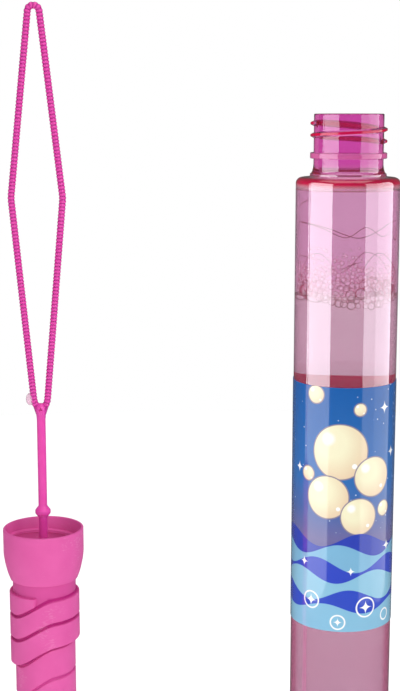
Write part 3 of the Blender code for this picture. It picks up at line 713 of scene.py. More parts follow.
def bottle_inside(wall, grown=0.0):
    """The inside from the middle of the base up to the straight wall, or grown outward into the wall."""
    radius, low = PANEL_RADIUS - wall + grown, wall - grown
    stand_inner = radius - HEEL_ROUND - STAND_WIDTH
    heel = arc(radius - HEEL_ROUND, low + HEEL_ROUND, HEEL_ROUND, -90, 0, 8)
    return [*reversed(dome(stand_inner, low)), (stand_inner, low), *heel]


def bottle_profile(wall):
    """The bottle's whole wall, outside and inside."""
    inner = PANEL_RADIUS - wall
    # The shoulder stretches least, so it keeps three times the wall's thickness.
    inside_top = SHOULDER_TOP - 3.0 * wall
    shoulder, throat = 2.6 * MM, 1.6 * MM
    return [
        *bottle_outside(),
        *bottle_inside(wall),
        *arc(inner - shoulder, inside_top - shoulder, shoulder, 0, 90, 8),
        *arc(NECK_BORE_RADIUS + throat, inside_top + throat, throat, 270, 180, 6),
        (NECK_BORE_RADIUS, BOTTLE_HIGH.z),
    ]


def thick_share(point):
    """1 where the bottle's plastic is thick, at the thread, the neck's ring and the shoulder's edge."""
    radius = math.hypot(point.x - BOTTLE_X, point.y)
    if point.z > FLARE_TOP:
        proud = smooth((radius - NECK_RADIUS - 0.05 * MM) / (0.8 * MM))
        return RING_SHARE * proud if point.z < RING_TOP + 0.2 * MM else proud
    rise = smooth((point.z - SHOULDER_TOP + 4.0 * MM) / THICK_EDGE)
    return rise * smooth((radius - FLARE_RADIUS + 0.3 * MM) / (1.6 * MM))


def solution_profile(wall, overlap, meniscus):
    """The solution's solid, a hair into the wall so that no air shows between, its top climbing the wall."""
    radius = PANEL_RADIUS - wall + overlap
    surface = [
        (radius - 3.0 * MM * inward, SOLUTION_TOP + meniscus * (1.0 - inward) ** 2.5)
        for inward in (i / 8 for i in range(9))
    ]
    return [*bottle_inside(wall, overlap), *surface, (0.0, SOLUTION_TOP)]


def on_wall(angle_deg, height, radius):
    """A point at the bottle's wall, the angle counted to the right from the front."""
    angle = math.radians(angle_deg)
    return Vector((BOTTLE_X + radius * math.sin(angle), -radius * math.cos(angle), height))


def foam_spots(seed, wall):
    """Where the foam's bubbles sit against the wall and how large they are: big below, fine above."""
    pick = random.Random(seed)
    inner = PANEL_RADIUS - wall
    spots = []
    for size, rise, spread, kept, heaped in FOAM_ROWS:
        count = int(math.tau * inner / (size * 1.7 * MM))
        for i in range(count):
            if pick.random() > kept:
                continue
            angle = 360.0 * (i + pick.uniform(-0.3, 0.3)) / count
            radius = size * pick.uniform(0.65, 1.2) * MM
            heap = heaped * HEAP_HEIGHT * math.sin(math.radians(angle * 2 + 60))
            height = SOLUTION_TOP + (rise + pick.uniform(-spread, spread) + heap) * MM
            spots.append((on_wall(angle, height, inner - 0.75 * radius), radius))
    return spots


def foam_cells(seed, wall):
    """The bubbles, each a small ball pressed half flat against the wall."""
    reach = PANEL_RADIUS - wall - 0.03 * MM
    parts = []
    for centre, radius in foam_spots(seed, wall):
        small = radius < LARGE_BUBBLE
        around, rows = (10, 6) if small else (14, 9)
        place = Matrix.Translation(centre)
        bm = bmesh.new()
        bmesh.ops.create_uvsphere(bm, u_segments=around, v_segments=rows, radius=radius, matrix=place)
        for vert in bm.verts:
            flat = Vector((vert.co.x - BOTTLE_X, vert.co.y))
            if flat.length > reach:
                flat *= reach / flat.length
                vert.co.x, vert.co.y = BOTTLE_X + flat.x, flat.y
        for face in bm.faces:
            face.material_index = 1 if small else 0
        parts.append(bm)
    return gathered(parts)


def route_point(route, leg):
    """The smooth line through the route's points, by how many legs of it lie behind."""
    i = min(max(int(leg), 0), len(route) - 2)
    t = leg - i
    near, far = Vector(route[i]), Vector(route[i + 1])
    bend_in = (far - Vector(route[max(i - 1, 0)])) / 2
    bend_out = (Vector(route[min(i + 2, len(route) - 1)]) - near) / 2
    return (
        near * (2 * t**3 - 3 * t**2 + 1)
        + bend_in * (t**3 - 2 * t**2 + t)
        + far * (3 * t**2 - 2 * t**3)
        + bend_out * (t**3 - t**2)
    )


def film_line(route, wall, thickness):
    """The thin wet rim of a film: a rod laid along a smooth line on the wall, fine at its ends."""
    reach = PANEL_RADIUS - wall - thickness
    steps = POINTS_PER_LEG * (len(route) - 1)
    profile = [(0.0, 0.0)]
    for i in range(steps + 1):
        full = 0.25 + 0.75 * smooth(min(i, steps - i) / POINTS_PER_LEG)
        profile.append((thickness * full, i / POINTS_PER_LEG))
    rod = turned([*profile, (0.0, steps / POINTS_PER_LEG)], 6, closed=False)
    for vert in rod.verts:
        here, ahead = route_point(route, vert.co.z), route_point(route, vert.co.z + 0.01)
        centre = on_wall(here.x, SOLUTION_TOP + here.y * MM, reach)
        forward = on_wall(ahead.x, SOLUTION_TOP + ahead.y * MM, reach) - centre
        out = Vector((centre.x - BOTTLE_X, centre.y, 0.0)).normalized()
        side = forward.cross(out).normalized()
        vert.co = centre + side * vert.co.x + out * vert.co.y
    return outward(rod)


# The grip


def groove_depth(turns):
    """How far below the rim the groove runs, by its turns since it left the right side."""
    whole = math.floor(turns)
    part = turns - whole
    thick = min(whole, THICK_TURNS)
    pitch = THICK_PITCH if whole < THICK_TURNS else THIN_PITCH
    start = WRAPS_TOP_DEPTH + thick * THICK_PITCH + (whole - thick) * THIN_PITCH
    return start + GROOVE_DROP * smooth((part - DROP_START) / DROP_TURN) + (pitch - GROOVE_DROP) * part


def groove_part(angle):
    """The part of a turn that the groove has made at an angle about the axis."""
    return ((GROOVE_START - angle) / math.tau) % 1.0


def wrap_radius(turns):
    """The wraps' surface by the turn above them: thick, then thin from the blunt end at the back."""
    return THIN_RADIUS + (THICK_RADIUS - THIN_RADIUS) * (1.0 - smooth((turns - BLUNT_END_TURN) / 0.03))


def groove_floor(turns):
    """The radius at the groove's floor, less deep between the thin wraps."""
    thin = smooth((turns - THICK_TURNS + 0.5) * 2.0)
    surface = THICK_RADIUS + (THIN_RADIUS - THICK_RADIUS) * thin
    return surface - (THICK_GROOVE + (THIN_GROOVE - THICK_GROOVE) * thin) * MM


def last_groove_turn():
    """Where the groove runs out above the pommel."""
    limit = HANDLE_TOP - POMMEL_TOP - 1.15 * MM
    turns = 0.0
    while groove_depth(turns) < limit:
        turns += 1.0 / 36
    return turns


def grip_radius(angle, depth, last):
    """The grip's radius and how deep it sits in a groove, which sets its painted shade, from its wraps and the
    grooves beside them.
    """
    part = groove_part(angle)
    whole = -1
    while groove_depth(whole + 1 + part) < depth - 1e-7:
        whole += 1
    surface = wrap_radius(whole + part)
    radius = surface
    for turns in (whole + part, whole + 1 + part):
        away = abs(depth - groove_depth(turns))
        present = smooth((turns + 0.12) / 0.1) * smooth((last - turns) * 12.0)
        open_mouth = smooth((away - GROOVE_HALF_WIDTH) / GROOVE_WALL_WIDTH)
        floor = groove_floor(turns)
        radius = min(radius, surface - max(surface - floor, 0.0) * (1.0 - open_mouth) * present)
    hollow = min(max((surface - radius) / FULL_SHADE_DEPTH, 0.0), 1.0)
    tip = 1.0
    if whole == -1:
        # Above the first wrap, whose tip lies on the neck
        tip = smooth((part - GROOVE_TIP_TURN) / 0.012)
        level = NECK_LEVEL_RADIUS - 0.05 * MM
        radius = level + (radius - level) * tip
        # Painted shade on the neck beside the first wrap's tip
        hollow = max(hollow, NECK_SHADE * (1.0 - tip))
    edge = min(max(depth - WRAPS_TOP_DEPTH, 0.0), WRAP_EDGE) / WRAP_EDGE
    return radius - WRAP_EDGE * (1.0 - math.sqrt(1.0 - (1.0 - edge) ** 2)) * tip, hollow


def wound_grip(steps=GRIP_STEPS):
    """The wraps and their groove: a screw of one wrap's rows, laid on the groove's route."""
    last_near = len(NEAR_GROOVE) - 1
    rows = 2 * last_near + MIDDLE_ROWS
    bm = bmesh.new()
    verts = [bm.verts.new((1.0, 0.0, -i / rows)) for i in range(rows + 1)]
    edges = [bm.edges.new(pair) for pair in zip(verts, verts[1:])]
    drop = (0.0, 0.0, -1.0 / steps)
    bmesh.ops.spin(bm, geom=verts + edges, dvec=drop, angle=-math.tau, steps=steps, **ABOUT_Z)
    one_turn = [*bm.verts, *bm.edges, *bm.faces]
    for turn in range(1, 9):
        copied = bmesh.ops.duplicate(bm, geom=one_turn)["geom"]
        moved = [item for item in copied if isinstance(item, bmesh.types.BMVert)]
        bmesh.ops.translate(bm, verts=moved, vec=(0.0, 0.0, -turn))
    bmesh.ops.remove_doubles(bm, verts=bm.verts, dist=1e-4)
    for vert in bm.verts:
        angle = math.atan2(vert.co.y, vert.co.x)
        part = round((-angle / math.tau) % 1.0 * steps) / steps % 1.0
        down = -vert.co.z
        whole = math.floor(down - part + 1e-4)
        row = round((down - part - whole) * rows)
        top, bottom = groove_depth(whole - 1 + part), groove_depth(whole + part)
        if row <= last_near:
            depth = top + NEAR_GROOVE[row]
        elif row >= rows - last_near:
            depth = bottom - NEAR_GROOVE[rows - row]
        else:
            share = (row - last_near) / MIDDLE_ROWS
            depth = top + NEAR_GROOVE[-1] + (bottom - top - 2 * NEAR_GROOVE[-1]) * share
        turn = GROOVE_START - math.tau * part
        vert.co = (THICK_RADIUS * math.cos(turn), THICK_RADIUS * math.sin(turn), HANDLE_TOP - depth)
    return bm


def cut_level(bm, height, up=1.0, drop_outer=False):
    """Cuts the shape level at a height, and drops what lies beyond the cut if asked."""
    plane = {"plane_co": (0.0, 0.0, height), "plane_no": (0.0, 0.0, up)}
    geom = [*bm.verts, *bm.edges, *bm.faces]
    bmesh.ops.bisect_plane(bm, geom=geom, dist=1e-6, clear_outer=drop_outer, **plane)


def trim_grip(bm, last):
    """Cuts the wound grip level at both ends, lets it down to its radius and gives it an inside."""
    wraps_top = HANDLE_TOP - WRAPS_TOP_DEPTH
    # Rows for the first wrap's rounded edge
    for down in (0.05, 0.11, 0.18, 0.27, 0.4):
        cut_level(bm, wraps_top - down * MM)
    cut_level(bm, wraps_top, 1.0, True)
    cut_level(bm, POMMEL_TOP - 0.6 * MM, -1.0, True)
    for vert in bm.verts:
        radius, _ = grip_radius(math.atan2(vert.co.y, vert.co.x), HANDLE_TOP - vert.co.z, last)
        vert.co.xy = vert.co.xy.normalized() * radius
    rims = [edge for edge in bm.edges if edge.is_boundary]
    inward = bmesh.ops.extrude_edge_only(bm, edges=rims)["geom"]
    for vert in [item for item in inward if isinstance(item, bmesh.types.BMVert)]:
        vert.co.xy = vert.co.xy.normalized() * (BARREL_BORE_RADIUS + 0.35 * MM)
    bmesh.ops.bridge_loops(bm, edges=[edge for edge in bm.edges if edge.is_boundary])
    bmesh.ops.recalc_face_normals(bm, faces=bm.faces)
    return bm


def shell_profile():
    """The turned part of the handle: collar, neck, the barrel inside the wraps, pommel, and the bores."""
    top, neck_top, wraps_top = HANDLE_TOP, HANDLE_TOP - NECK_TOP_DEPTH, HANDLE_TOP - WRAPS_TOP_DEPTH
    rim, neck, barrel = 0.4 * MM, NECK_LEVEL_RADIUS, BARREL_BORE_RADIUS + 0.8 * MM
    collar = [
        (
            COLLAR_RADIUS + (COLLAR_FOOT_RADIUS - COLLAR_RADIUS) * (i / 10) ** 1.6,
            top - COLLAR_STRAIGHT - (COLLAR_FOOT_DEPTH - COLLAR_STRAIGHT) * i / 10,
        )
        for i in range(11)
    ]
    pommel, brow, heel = POMMEL_TOP, 2.2 * MM, 0.6 * MM
    seat, seat_foot, cup = 12.9 * MM, top - 16.2 * MM, 13.9 * MM
    return [
        *arc(COLLAR_RADIUS - rim, top - rim, rim, 90, 0, 4),
        *collar,
        (neck + 0.95 * MM, neck_top + 0.5 * MM),
        (neck + 0.85 * MM, neck_top + 0.25 * MM),
        (neck + 0.1 * MM, neck_top + 0.1 * MM),
        (neck, neck_top),
        (neck, wraps_top + 0.2 * MM),
        (neck, wraps_top - 0.5 * MM),
        (barrel, wraps_top - 0.7 * MM),
        (barrel, pommel - 0.3 * MM),
        (THIN_RADIUS - 0.1 * MM, pommel),
        (THIN_RADIUS + 0.25 * MM, pommel - 0.3 * MM),
        *arc(POMMEL_RADIUS - brow, pommel - 3.2 * MM, brow, 70, 0, 7),
        *arc(POMMEL_RADIUS - heel, SHELL_END + heel, heel, 0, -90, 4),
        (BARREL_BORE_RADIUS, SHELL_END),
        (BARREL_BORE_RADIUS, seat_foot),
        (seat, seat_foot),
        (seat, top - 10.2 * MM),
        (cup, top - 9.7 * MM),
        (cup, top - rim),
        (cup + 0.3 * MM, top),
    ]


def recess_shade_share(point, last):
    """How much painted shade a point of the handle takes, from 0 to 1: by how deep it sits in a groove, and a
    fixed share on the neck between the collar and the wraps.
    """
    x = point.x - HANDLE_X
    depth = HANDLE_TOP - point.z
    if NECK_TOP_DEPTH - 0.05 * MM < depth <= WRAPS_TOP_DEPTH:
        return NECK_SHADE
    if WRAPS_TOP_DEPTH < depth < HANDLE_TOP - POMMEL_TOP and math.hypot(x, point.y) > 10.5 * MM:
        return grip_radius(math.atan2(point.y, x), depth, last)[1]
    return 0.0


# The wand


def bend(corner, before, after, radius, steps):
    """Points of a round that takes the corner between its neighbours."""
    to_before = (before - corner).normalized()
    to_after = (after - corner).normalized()
    half = to_before.angle(to_after) / 2
    centre = corner + (to_before + to_after).normalized() * (radius / math.sin(half))
    start = corner + to_before * (radius / math.tan(half)) - centre
    finish = corner + to_after * (radius / math.tan(half)) - centre
    sweep = start.angle(finish)
    points = []
    for i in range(steps + 1):
        part = i / steps
        near = start * math.sin((1 - part) * sweep) + finish * math.sin(part * sweep)
        points.append(centre + near / math.sin(sweep))
    return points


def loop_line(strand):
    """The loop's centre line in its own plane, up the left side and down the right."""
    crown_height = WAND_TOP - HANDLE_TOP - strand - TOP_BEND_RADIUS
    start = Vector((-0.5 * MM, STEM_LENGTH - 0.6 * MM))
    foot = Vector((-2.5 * MM, CROTCH_HEIGHT + 0.4 * MM))
    side = Vector((-LOOP_HALF_WIDTH, WIDEST_HEIGHT))
    shoulder = Vector((-TOP_BEND_RADIUS, crown_height))
    foot_bend = bend(foot, start, side, FOOT_BEND_RADIUS, 8)
    left = [start, *foot_bend, *bend(side, foot, shoulder, SIDE_BEND_RADIUS, 24)]
    crown = [Vector(point) for point in arc(0.0, crown_height, TOP_BEND_RADIUS, 180, 0, 24)]
    return left + crown + [Vector((-point.x, point.y)) for point in reversed(left)]


def along(line, distances, distance):
    """The point and the direction of the line at a distance along it."""
    low, high = 0, len(line) - 1
    while high - low > 1:
        middle = (low + high) // 2
        if distances[middle] <= distance:
            low = middle
        else:
            high = middle
    part = (distance - distances[low]) / max(distances[high] - distances[low], 1e-12)
    return line[low].lerp(line[high], part), (line[high] - line[low]).normalized()


def ribbed_strand(strand, rib_pitch, rib_depth, sides=14):
    """A straight ribbed rod, spun and then laid along the loop's line."""
    line = loop_line(strand)
    distances = [0.0]
    for near, far in zip(line, line[1:]):
        distances.append(distances[-1] + (far - near).length)
    length = distances[-1]
    ribs = round((length - 2 * PLAIN_END) / rib_pitch)
    pitch = (length - 2 * PLAIN_END) / ribs
    profile = [(0.0, 0.0), (strand - rib_depth, 0.0)]
    for i in range(ribs):
        foot = PLAIN_END + pitch * i
        profile += [(strand - depth * rib_depth, foot + part * pitch) for part, depth in RIB]
    profile += [(strand - rib_depth, length), (0.0, length)]
    bm = turned(profile, sides, closed=False)
    # How deep each point sits in a notch, which sets its painted shade
    hollow = bm.verts.layers.float.new("hollow")
    for vert in bm.verts:
        vert[hollow] = min((strand - vert.co.xy.length) / rib_depth, 1.0)
        point, direction = along(line, distances, min(max(vert.co.z, 0.0), length))
        x, y = vert.co.xy
        vert.co = (point.x + direction.y * x, y, point.y - direction.x * x)
    return bm


def stem_profile():
    """The stem from its foot in the socket to the fork, with its bead."""
    swell = BEAD_RADIUS - STEM_RADIUS
    below = [(STEM_RADIUS + swell * rise, BEAD_HEIGHT - height * MM) for height, rise in reversed(BEAD)]
    above = [(STEM_RADIUS + swell * rise, BEAD_HEIGHT + height * MM) for height, rise in BEAD]
    return [
        (0.0, STEM_FOOT),
        (STEM_RADIUS - 0.3 * MM, STEM_FOOT),
        (STEM_RADIUS, STEM_FOOT + 0.4 * MM),
        *below,
        *above,
        (STEM_RADIUS, STEM_LENGTH - 2.0 * MM),
        (STEM_RADIUS * 1.12, STEM_LENGTH),
        (STEM_RADIUS * 1.3, STEM_LENGTH + 1.6 * MM),
        (STEM_RADIUS * 1.2, CROTCH_HEIGHT - 2.0 * MM),
        (STEM_RADIUS * 0.8, CROTCH_HEIGHT - 1.0 * MM),
        (0.0, CROTCH_HEIGHT - 0.7 * MM),
    ]


# Settings


def tint_setting(name, description, default):
    """A colour, its default given as a hex value."""
    shade = {"default": linear(default), "subtype": "COLOR", "size": 3, "min": 0.0, "max": 1.0}
    return FloatVectorProperty(name=name, description=description, **shade)


def length_setting(name, description, millimetres):
    """A length, its default given in millimetres."""
    return FloatProperty(name=name, description=description, default=millimetres * MM, unit="LENGTH")


class BubbleWandBottleSettings(PropertyGroup):
    wall: length_setting("Wall", "Thickness of the bottle's wall", 0.7)
    steps: IntProperty(name="Steps", description="Facets around the bottle", default=192, min=48)
    dye: tint_setting("Dye", "Colour that the wall lets through", "#f3aad7")
    dye_density: FloatProperty(
        name="Dye density", description="How fast the wall takes up light, per metre", default=450.0
    )
    neck_tint: tint_setting("Neck tint", "Deeper dye of the unstretched neck", "#ffb5f7")
    edge_colour: tint_setting("Edge colour", "Red of the thread and the shoulder's edge", "#b0083c")
    gloss: FloatProperty(
        name="Gloss", description="Strength of the polished outer skin", default=0.7, min=0.0, max=1.0,
        subtype="FACTOR",
    )


class BubbleWandSolutionSettings(PropertyGroup):
    overlap: length_setting("Overlap", "How far the solution reaches into the wall, to shut out air", 0.2)
    meniscus: length_setting("Meniscus", "How far the surface climbs the wall", 0.4)
    tint: tint_setting("Tint", "Colour that the solution lets through", "#e0a8c4")
    tint_density: FloatProperty(
        name="Tint density", description="How fast the solution takes up light, per metre", default=2.0
    )
    film_colour: tint_setting("Film colour", "Colour of a soap film seen edge on", "#8a0238")
    seed: IntProperty(name="Seed", description="Which arrangement of foam is laid", default=11)


class BubbleWandLabelSettings(PropertyGroup):
    blue: tint_setting("Blue", "Blue at the label's top", "#125ba8")
    cream: tint_setting("Cream", "Light side of the printed bubbles", "#f6f0cd")
    peach: tint_setting("Peach", "Shaded side of the printed bubbles", "#e9c9a8")
    outline: tint_setting("Outline", "Line around the printed bubbles", "#8a8299")
    reverse: tint_setting("Reverse", "Glued side of the label", "#f0086e")


class BubbleWandHandleSettings(PropertyGroup):
    colour: tint_setting("Colour", "Pink of the handle", "#dc4f9e")
    pale_colour: tint_setting("Pale colour", "The paler clouds in the handle's pink", "#e660ab")
    # Painted shade: a darker pink that stands in for the shade in the grooves and on the neck below the collar
    groove_shade_colour: tint_setting("Groove shade", "Painted shade in the grooves", "#c01c80")
    scuff_colour: tint_setting("Scuff colour", "Pale rub marks", "#f0a6cd")


class BubbleWandWandSettings(PropertyGroup):
    strand: length_setting("Strand radius", "Radius over the ribs", 1.3)
    rib_pitch: length_setting("Rib pitch", "From one rib to the next", 1.27)
    rib_depth: length_setting("Rib depth", "Depth of the notches between ribs", 0.18)
    colour: tint_setting("Colour", "Pink of the wand", "#e63eaa")
    pale_colour: tint_setting("Pale colour", "Flow marks in the wand's pink", "#ec4eb2")
    # Painted shade: a darker pink that stands in for the shade between the ribs
    notch_shade_colour: tint_setting("Notch shade", "Painted shade between the ribs", "#c0208e")


class BubbleWandStageSettings(PropertyGroup):
    tilt: FloatProperty(
        name="Tilt", description="How far the camera looks down", default=math.radians(9.75), subtype="ANGLE"
    )
    lens: FloatProperty(name="Lens", description="Focal length in millimetres", default=72.94)
    ambient: FloatProperty(name="Ambient", description="Strength of the light from all around", default=0.35)
    mirrored: FloatProperty(name="Mirrored", description="Strength of the room in reflections", default=0.09)


class BubbleWandSettings(PropertyGroup):
    bottle: PointerProperty(type=BubbleWandBottleSettings)
    solution: PointerProperty(type=BubbleWandSolutionSettings)
    label: PointerProperty(type=BubbleWandLabelSettings)
    handle: PointerProperty(type=BubbleWandHandleSettings)
    wand: PointerProperty(type=BubbleWandWandSettings)
    stage: PointerProperty(type=BubbleWandStageSettings)


# Operators


class BUBBLE_WAND_OT_bottle(Operator):
    """Turn the clear bottle with its screw neck"""

    bl_idname = "bubble_wand.bottle"
    bl_label = "Bottle"

    def execute(self, context):
        bottle = context.scene.bubble_wand.bottle
        body = turned(bottle_profile(bottle.wall), bottle.steps)
        root, crest, buried = NECK_RADIUS - 0.4 * MM, THREAD_RADIUS - 0.05 * MM, NECK_RADIUS - 0.15 * MM
        thread = screw_ridge(1.65, root, crest, buried, start_deg=207.0, top=BOTTLE_HIGH.z - 3.0 * MM)
        pet = clear_pet(bottle)
        clear = melted(body, [thread])
        made = finished(clear, "bottle_clear", "bottle", [pet], ["bottle"], BOTTLE_X, shadows=False)
        mark_points(made, "thick", thick_share)
        return {"FINISHED"}


class BUBBLE_WAND_OT_solution(Operator):
    """Fill the bottle with bubble solution"""

    bl_idname = "bubble_wand.solution"
    bl_label = "Solution"

    def execute(self, context):
        settings = context.scene.bubble_wand
        solution = settings.solution
        profile = solution_profile(settings.bottle.wall, solution.overlap, solution.meniscus)
        bm = turned(profile, SOLUTION_STEPS, closed=False)
        soap = [soap_solution(solution)]
        finished(bm, "solution_body", "bottle", soap, ["bubble_solution"], BOTTLE_X, shadows=False)
        return {"FINISHED"}


class BUBBLE_WAND_OT_foam(Operator):
    """Lay foam on the solution and soap films on the wall"""

    bl_idname = "bubble_wand.foam"
    bl_label = "Foam and films"

    def execute(self, context):
        settings = context.scene.bubble_wand
        solution, wall = settings.solution, settings.bottle.wall
        dark = solution.film_colour
        large = soap_film("soap film of the large bubbles", dark, WHITE, 1.0, 0.06, 0.2, 0.58)
        fine = soap_film("soap film of the fine bubbles", "#9a0e4c", WHITE, 0.95, 0.15, 0.24, 0.66)
        cells = foam_cells(solution.seed, wall)
        finished(cells, "foam_cells", "bottle", [large, fine], sharp_deg=80.0, shadows=False)
        rim = soap_film("wet rim of a soap film", dark, dark, 0.9, 0.7)
        lines = gathered([film_line(route, wall, WET_RIM_RADIUS) for route in FILM_ROUTES])
        finished(lines, "film_rims", "bottle", [rim], sharp_deg=80.0, shadows=False)
        return {"FINISHED"}


class BUBBLE_WAND_OT_label(Operator):
    """Wrap the printed label around the bottle"""

    bl_idname = "bubble_wand.label"
    bl_label = "Label"

    def execute(self, context):
        label = context.scene.bubble_wand.label
        # The film's glued side reaches a hair into the wall, so that no air shows between.
        inner = BOTTLE_RADIUS - 0.03 * MM
        low, high = LABEL_LOW.z, LABEL_HIGH.z
        levels = [low + (high - low) * i / 6 for i in range(7)]
        profile = [*((LABEL_RADIUS, z) for z in levels), *((inner, z) for z in reversed(levels))]
        bm = turned(profile, LABEL_STEPS)
        wrap = bm.loops.layers.uv.new("wrap")
        for face in bm.faces:
            middle = face.calc_center_median()
            front = math.atan2(middle.x, -middle.y) / math.tau + 0.5
            facing_in = face.normal.dot(Vector((middle.x, middle.y, 0.0))) < 0.0
            face.material_index = 1 if facing_in else 0
            for loop in face.loops:
                turn = math.atan2(loop.vert.co.x, -loop.vert.co.y) / math.tau + 0.5
                turn += round(front - turn)
                loop[wrap].uv = (turn, (loop.vert.co.z - low) / (high - low))
        sides = [printed_film(label), label_back(label)]
        finished(bm, "label_wrap", "bottle", sides, ["label_sleeve"], BOTTLE_X)
        return {"FINISHED"}


class BUBBLE_WAND_OT_grip(Operator):
    """Mould the handle with its collar, wound grip and pommel"""

    bl_idname = "bubble_wand.grip"
    bl_label = "Handle"

    def execute(self, context):
        handle = context.scene.bubble_wand.handle
        last = last_groove_turn()
        core = turned(shell_profile(), GRIP_STEPS)
        wraps = trim_grip(wound_grip(), last)
        root, crest, buried = 14.3 * MM, 13.0 * MM, 14.05 * MM
        thread = screw_ridge(1.4, root, crest, buried, start_deg=0.0, top=HANDLE_TOP - 2.4 * MM)
        matte = moulded_pe("matte pink polyethylene, injection moulded", handle, 2900.0, 0.5, 0.2)
        whole = melted(core, [wraps, thread])
        made = finished(whole, "grip_moulding", "handle", [matte], ["grip_shell"], HANDLE_X)
        # Marks how much painted shade each point of the handle takes
        mark_points(made, "hollow", lambda point: recess_shade_share(point, last))
        return {"FINISHED"}


class BUBBLE_WAND_OT_fittings(Operator):
    """Turn the seal, the stem holder and the end plug"""

    bl_idname = "bubble_wand.fittings"
    bl_label = "Seal, holder and plug"

    def execute(self, context):
        handle = context.scene.bubble_wand.handle
        top, hole = HANDLE_TOP - WASHER_TOP_DEPTH, 3.28 * MM
        under = top - DISC_THICKNESS
        ring = [(SEATED_RADIUS, top), (SEATED_RADIUS, under), (hole, under), (hole, top)]
        seal = turned(ring, FITTING_STEPS)
        soften(seal, 0.2 * MM)
        finished(seal, "seal_ring", "seal", [foam_seal()], ["seal_washer"], HANDLE_X)
        flange = HANDLE_TOP - FLANGE_TOP_DEPTH
        flange_foot, skirt_foot, hub_foot = flange - DISC_THICKNESS, flange - 6.8 * MM, flange - 11.0 * MM
        skirt, socket, socket_foot = BARREL_BORE_RADIUS - 0.3 * MM, STEM_RADIUS + 0.3 * MM, flange - 9.5 * MM
        skirt_inside, hub = skirt - 1.3 * MM, socket + 2.2 * MM
        holder = turned([
            (0.0, socket_foot), (socket, socket_foot), (socket, flange), (SEATED_RADIUS, flange),
            (SEATED_RADIUS, flange_foot), (skirt, flange_foot), (skirt, skirt_foot),
            (skirt_inside, skirt_foot), (skirt_inside, flange_foot), (hub, flange_foot), (hub, hub_foot),
            (0.0, hub_foot),
        ], FITTING_STEPS, closed=False)
        soften(holder, 0.2 * MM)
        disc = moulded_pe("satin pink polyethylene disc, injection moulded", handle, 3200.0, 0.38, 0.0)
        finished(holder, "stem_socket", "handle", [disc], ["stem_holder"], HANDLE_X)
        rim, cap_top, plug_top, plug_bore = POMMEL_RADIUS - 0.6 * MM, 2.4 * MM, 9.4 * MM, skirt - 1.4 * MM
        plug = turned([
            (0.0, cap_top), (plug_bore, cap_top), (plug_bore, plug_top), (skirt, plug_top), (skirt, cap_top),
            (rim, cap_top), (rim, 0.0), (0.0, 0.0),
        ], FITTING_STEPS, closed=False)
        soften(plug, 0.45 * MM)
        cap = moulded_pe("pink polyethylene plug, injection moulded", handle, 3000.0, 0.42, 0.2)
        finished(plug, "barrel_plug", "handle", [cap], ["end_plug"], HANDLE_X)
        return {"FINISHED"}


class BUBBLE_WAND_OT_wand(Operator):
    """Mould the stem and the ribbed loop"""

    bl_idname = "bubble_wand.wand"
    bl_label = "Wand"

    def execute(self, context):
        wand = context.scene.bubble_wand.wand
        # The ejector's mark: a small three-sided pit in the front of the fork
        place = Matrix.Translation((0.05 * MM, -STEM_RADIUS * 1.22, CROTCH_HEIGHT - 2.9 * MM)) @ UPRIGHT
        size = {"radius1": 0.95 * MM, "radius2": 0.75 * MM, "depth": 1.2 * MM}
        pit = bmesh.new()
        bmesh.ops.create_cone(pit, cap_ends=True, segments=3, matrix=place, **size)
        stem = melted(turned(stem_profile(), 48, closed=False), cuts=[pit])
        strand = outward(ribbed_strand(wand.strand, wand.rib_pitch, wand.rib_depth))
        pink = soft_ldpe(wand)
        whole = gathered([strand, stem])
        finished(whole, "wand_moulding", "handle", [pink], ["wand"], HANDLE_X, HANDLE_TOP, 50.0)
        drop = bmesh.new()
        bmesh.ops.create_uvsphere(drop, u_segments=32, v_segments=20, radius=1.0 * MM)
        bmesh.ops.scale(drop, verts=drop.verts, vec=(1.55, 1.25, 2.3))
        bmesh.ops.translate(drop, verts=drop.verts, vec=(-3.9 * MM, 0.0, CROTCH_HEIGHT + 0.8 * MM))
        # Painted shade: the drop's grey-mauve rim stands in for the dark edge that a clear drop shows by
        # bending light; its face is a pale pink.
        soap = [soap_film("hanging soap drop", "#7a4860", "#f6c4e0", 0.9, 0.5, 0.55, 0.85)]
        finished(drop, "soap_drop", "handle", soap, (), HANDLE_X, HANDLE_TOP, shadows=False)
        return {"FINISHED"}


def softbox(name, at, target, width, height, radiance, pieces=(), tint=NEUTRAL):
    """A rectangular lamp that faces the target, seen by no camera, and lighting only these pieces if any."""
    data = bpy.data.lights.new(name, "AREA")
    data.shape, data.size, data.size_y = "RECTANGLE", width, height
    data.energy = radiance * math.pi * width * height
    data.color = linear(tint)
    lamp = bpy.data.objects.new(name, data)
    bpy.context.scene.collection.objects.link(lamp)
    lamp.location = at
    lamp.rotation_euler = (Vector(at) - Vector(target)).to_track_quat("Z", "Y").to_euler()
    lamp.visible_camera = lamp.visible_transmission = False
    if pieces:
        lit = bpy.data.collections.new(name + " lights these")
        for piece in pieces:
            lit.objects.link(bpy.data.objects[piece])
        lamp.light_linking.receiver_collection = lit


def beside(x, azimuth_deg, distance, height):
    """A point beside the axis at x, the azimuth counted to the right from the camera's side."""
    azimuth = math.radians(azimuth_deg)
    return (x + distance * math.sin(azimuth), -distance * math.cos(azimuth), height)


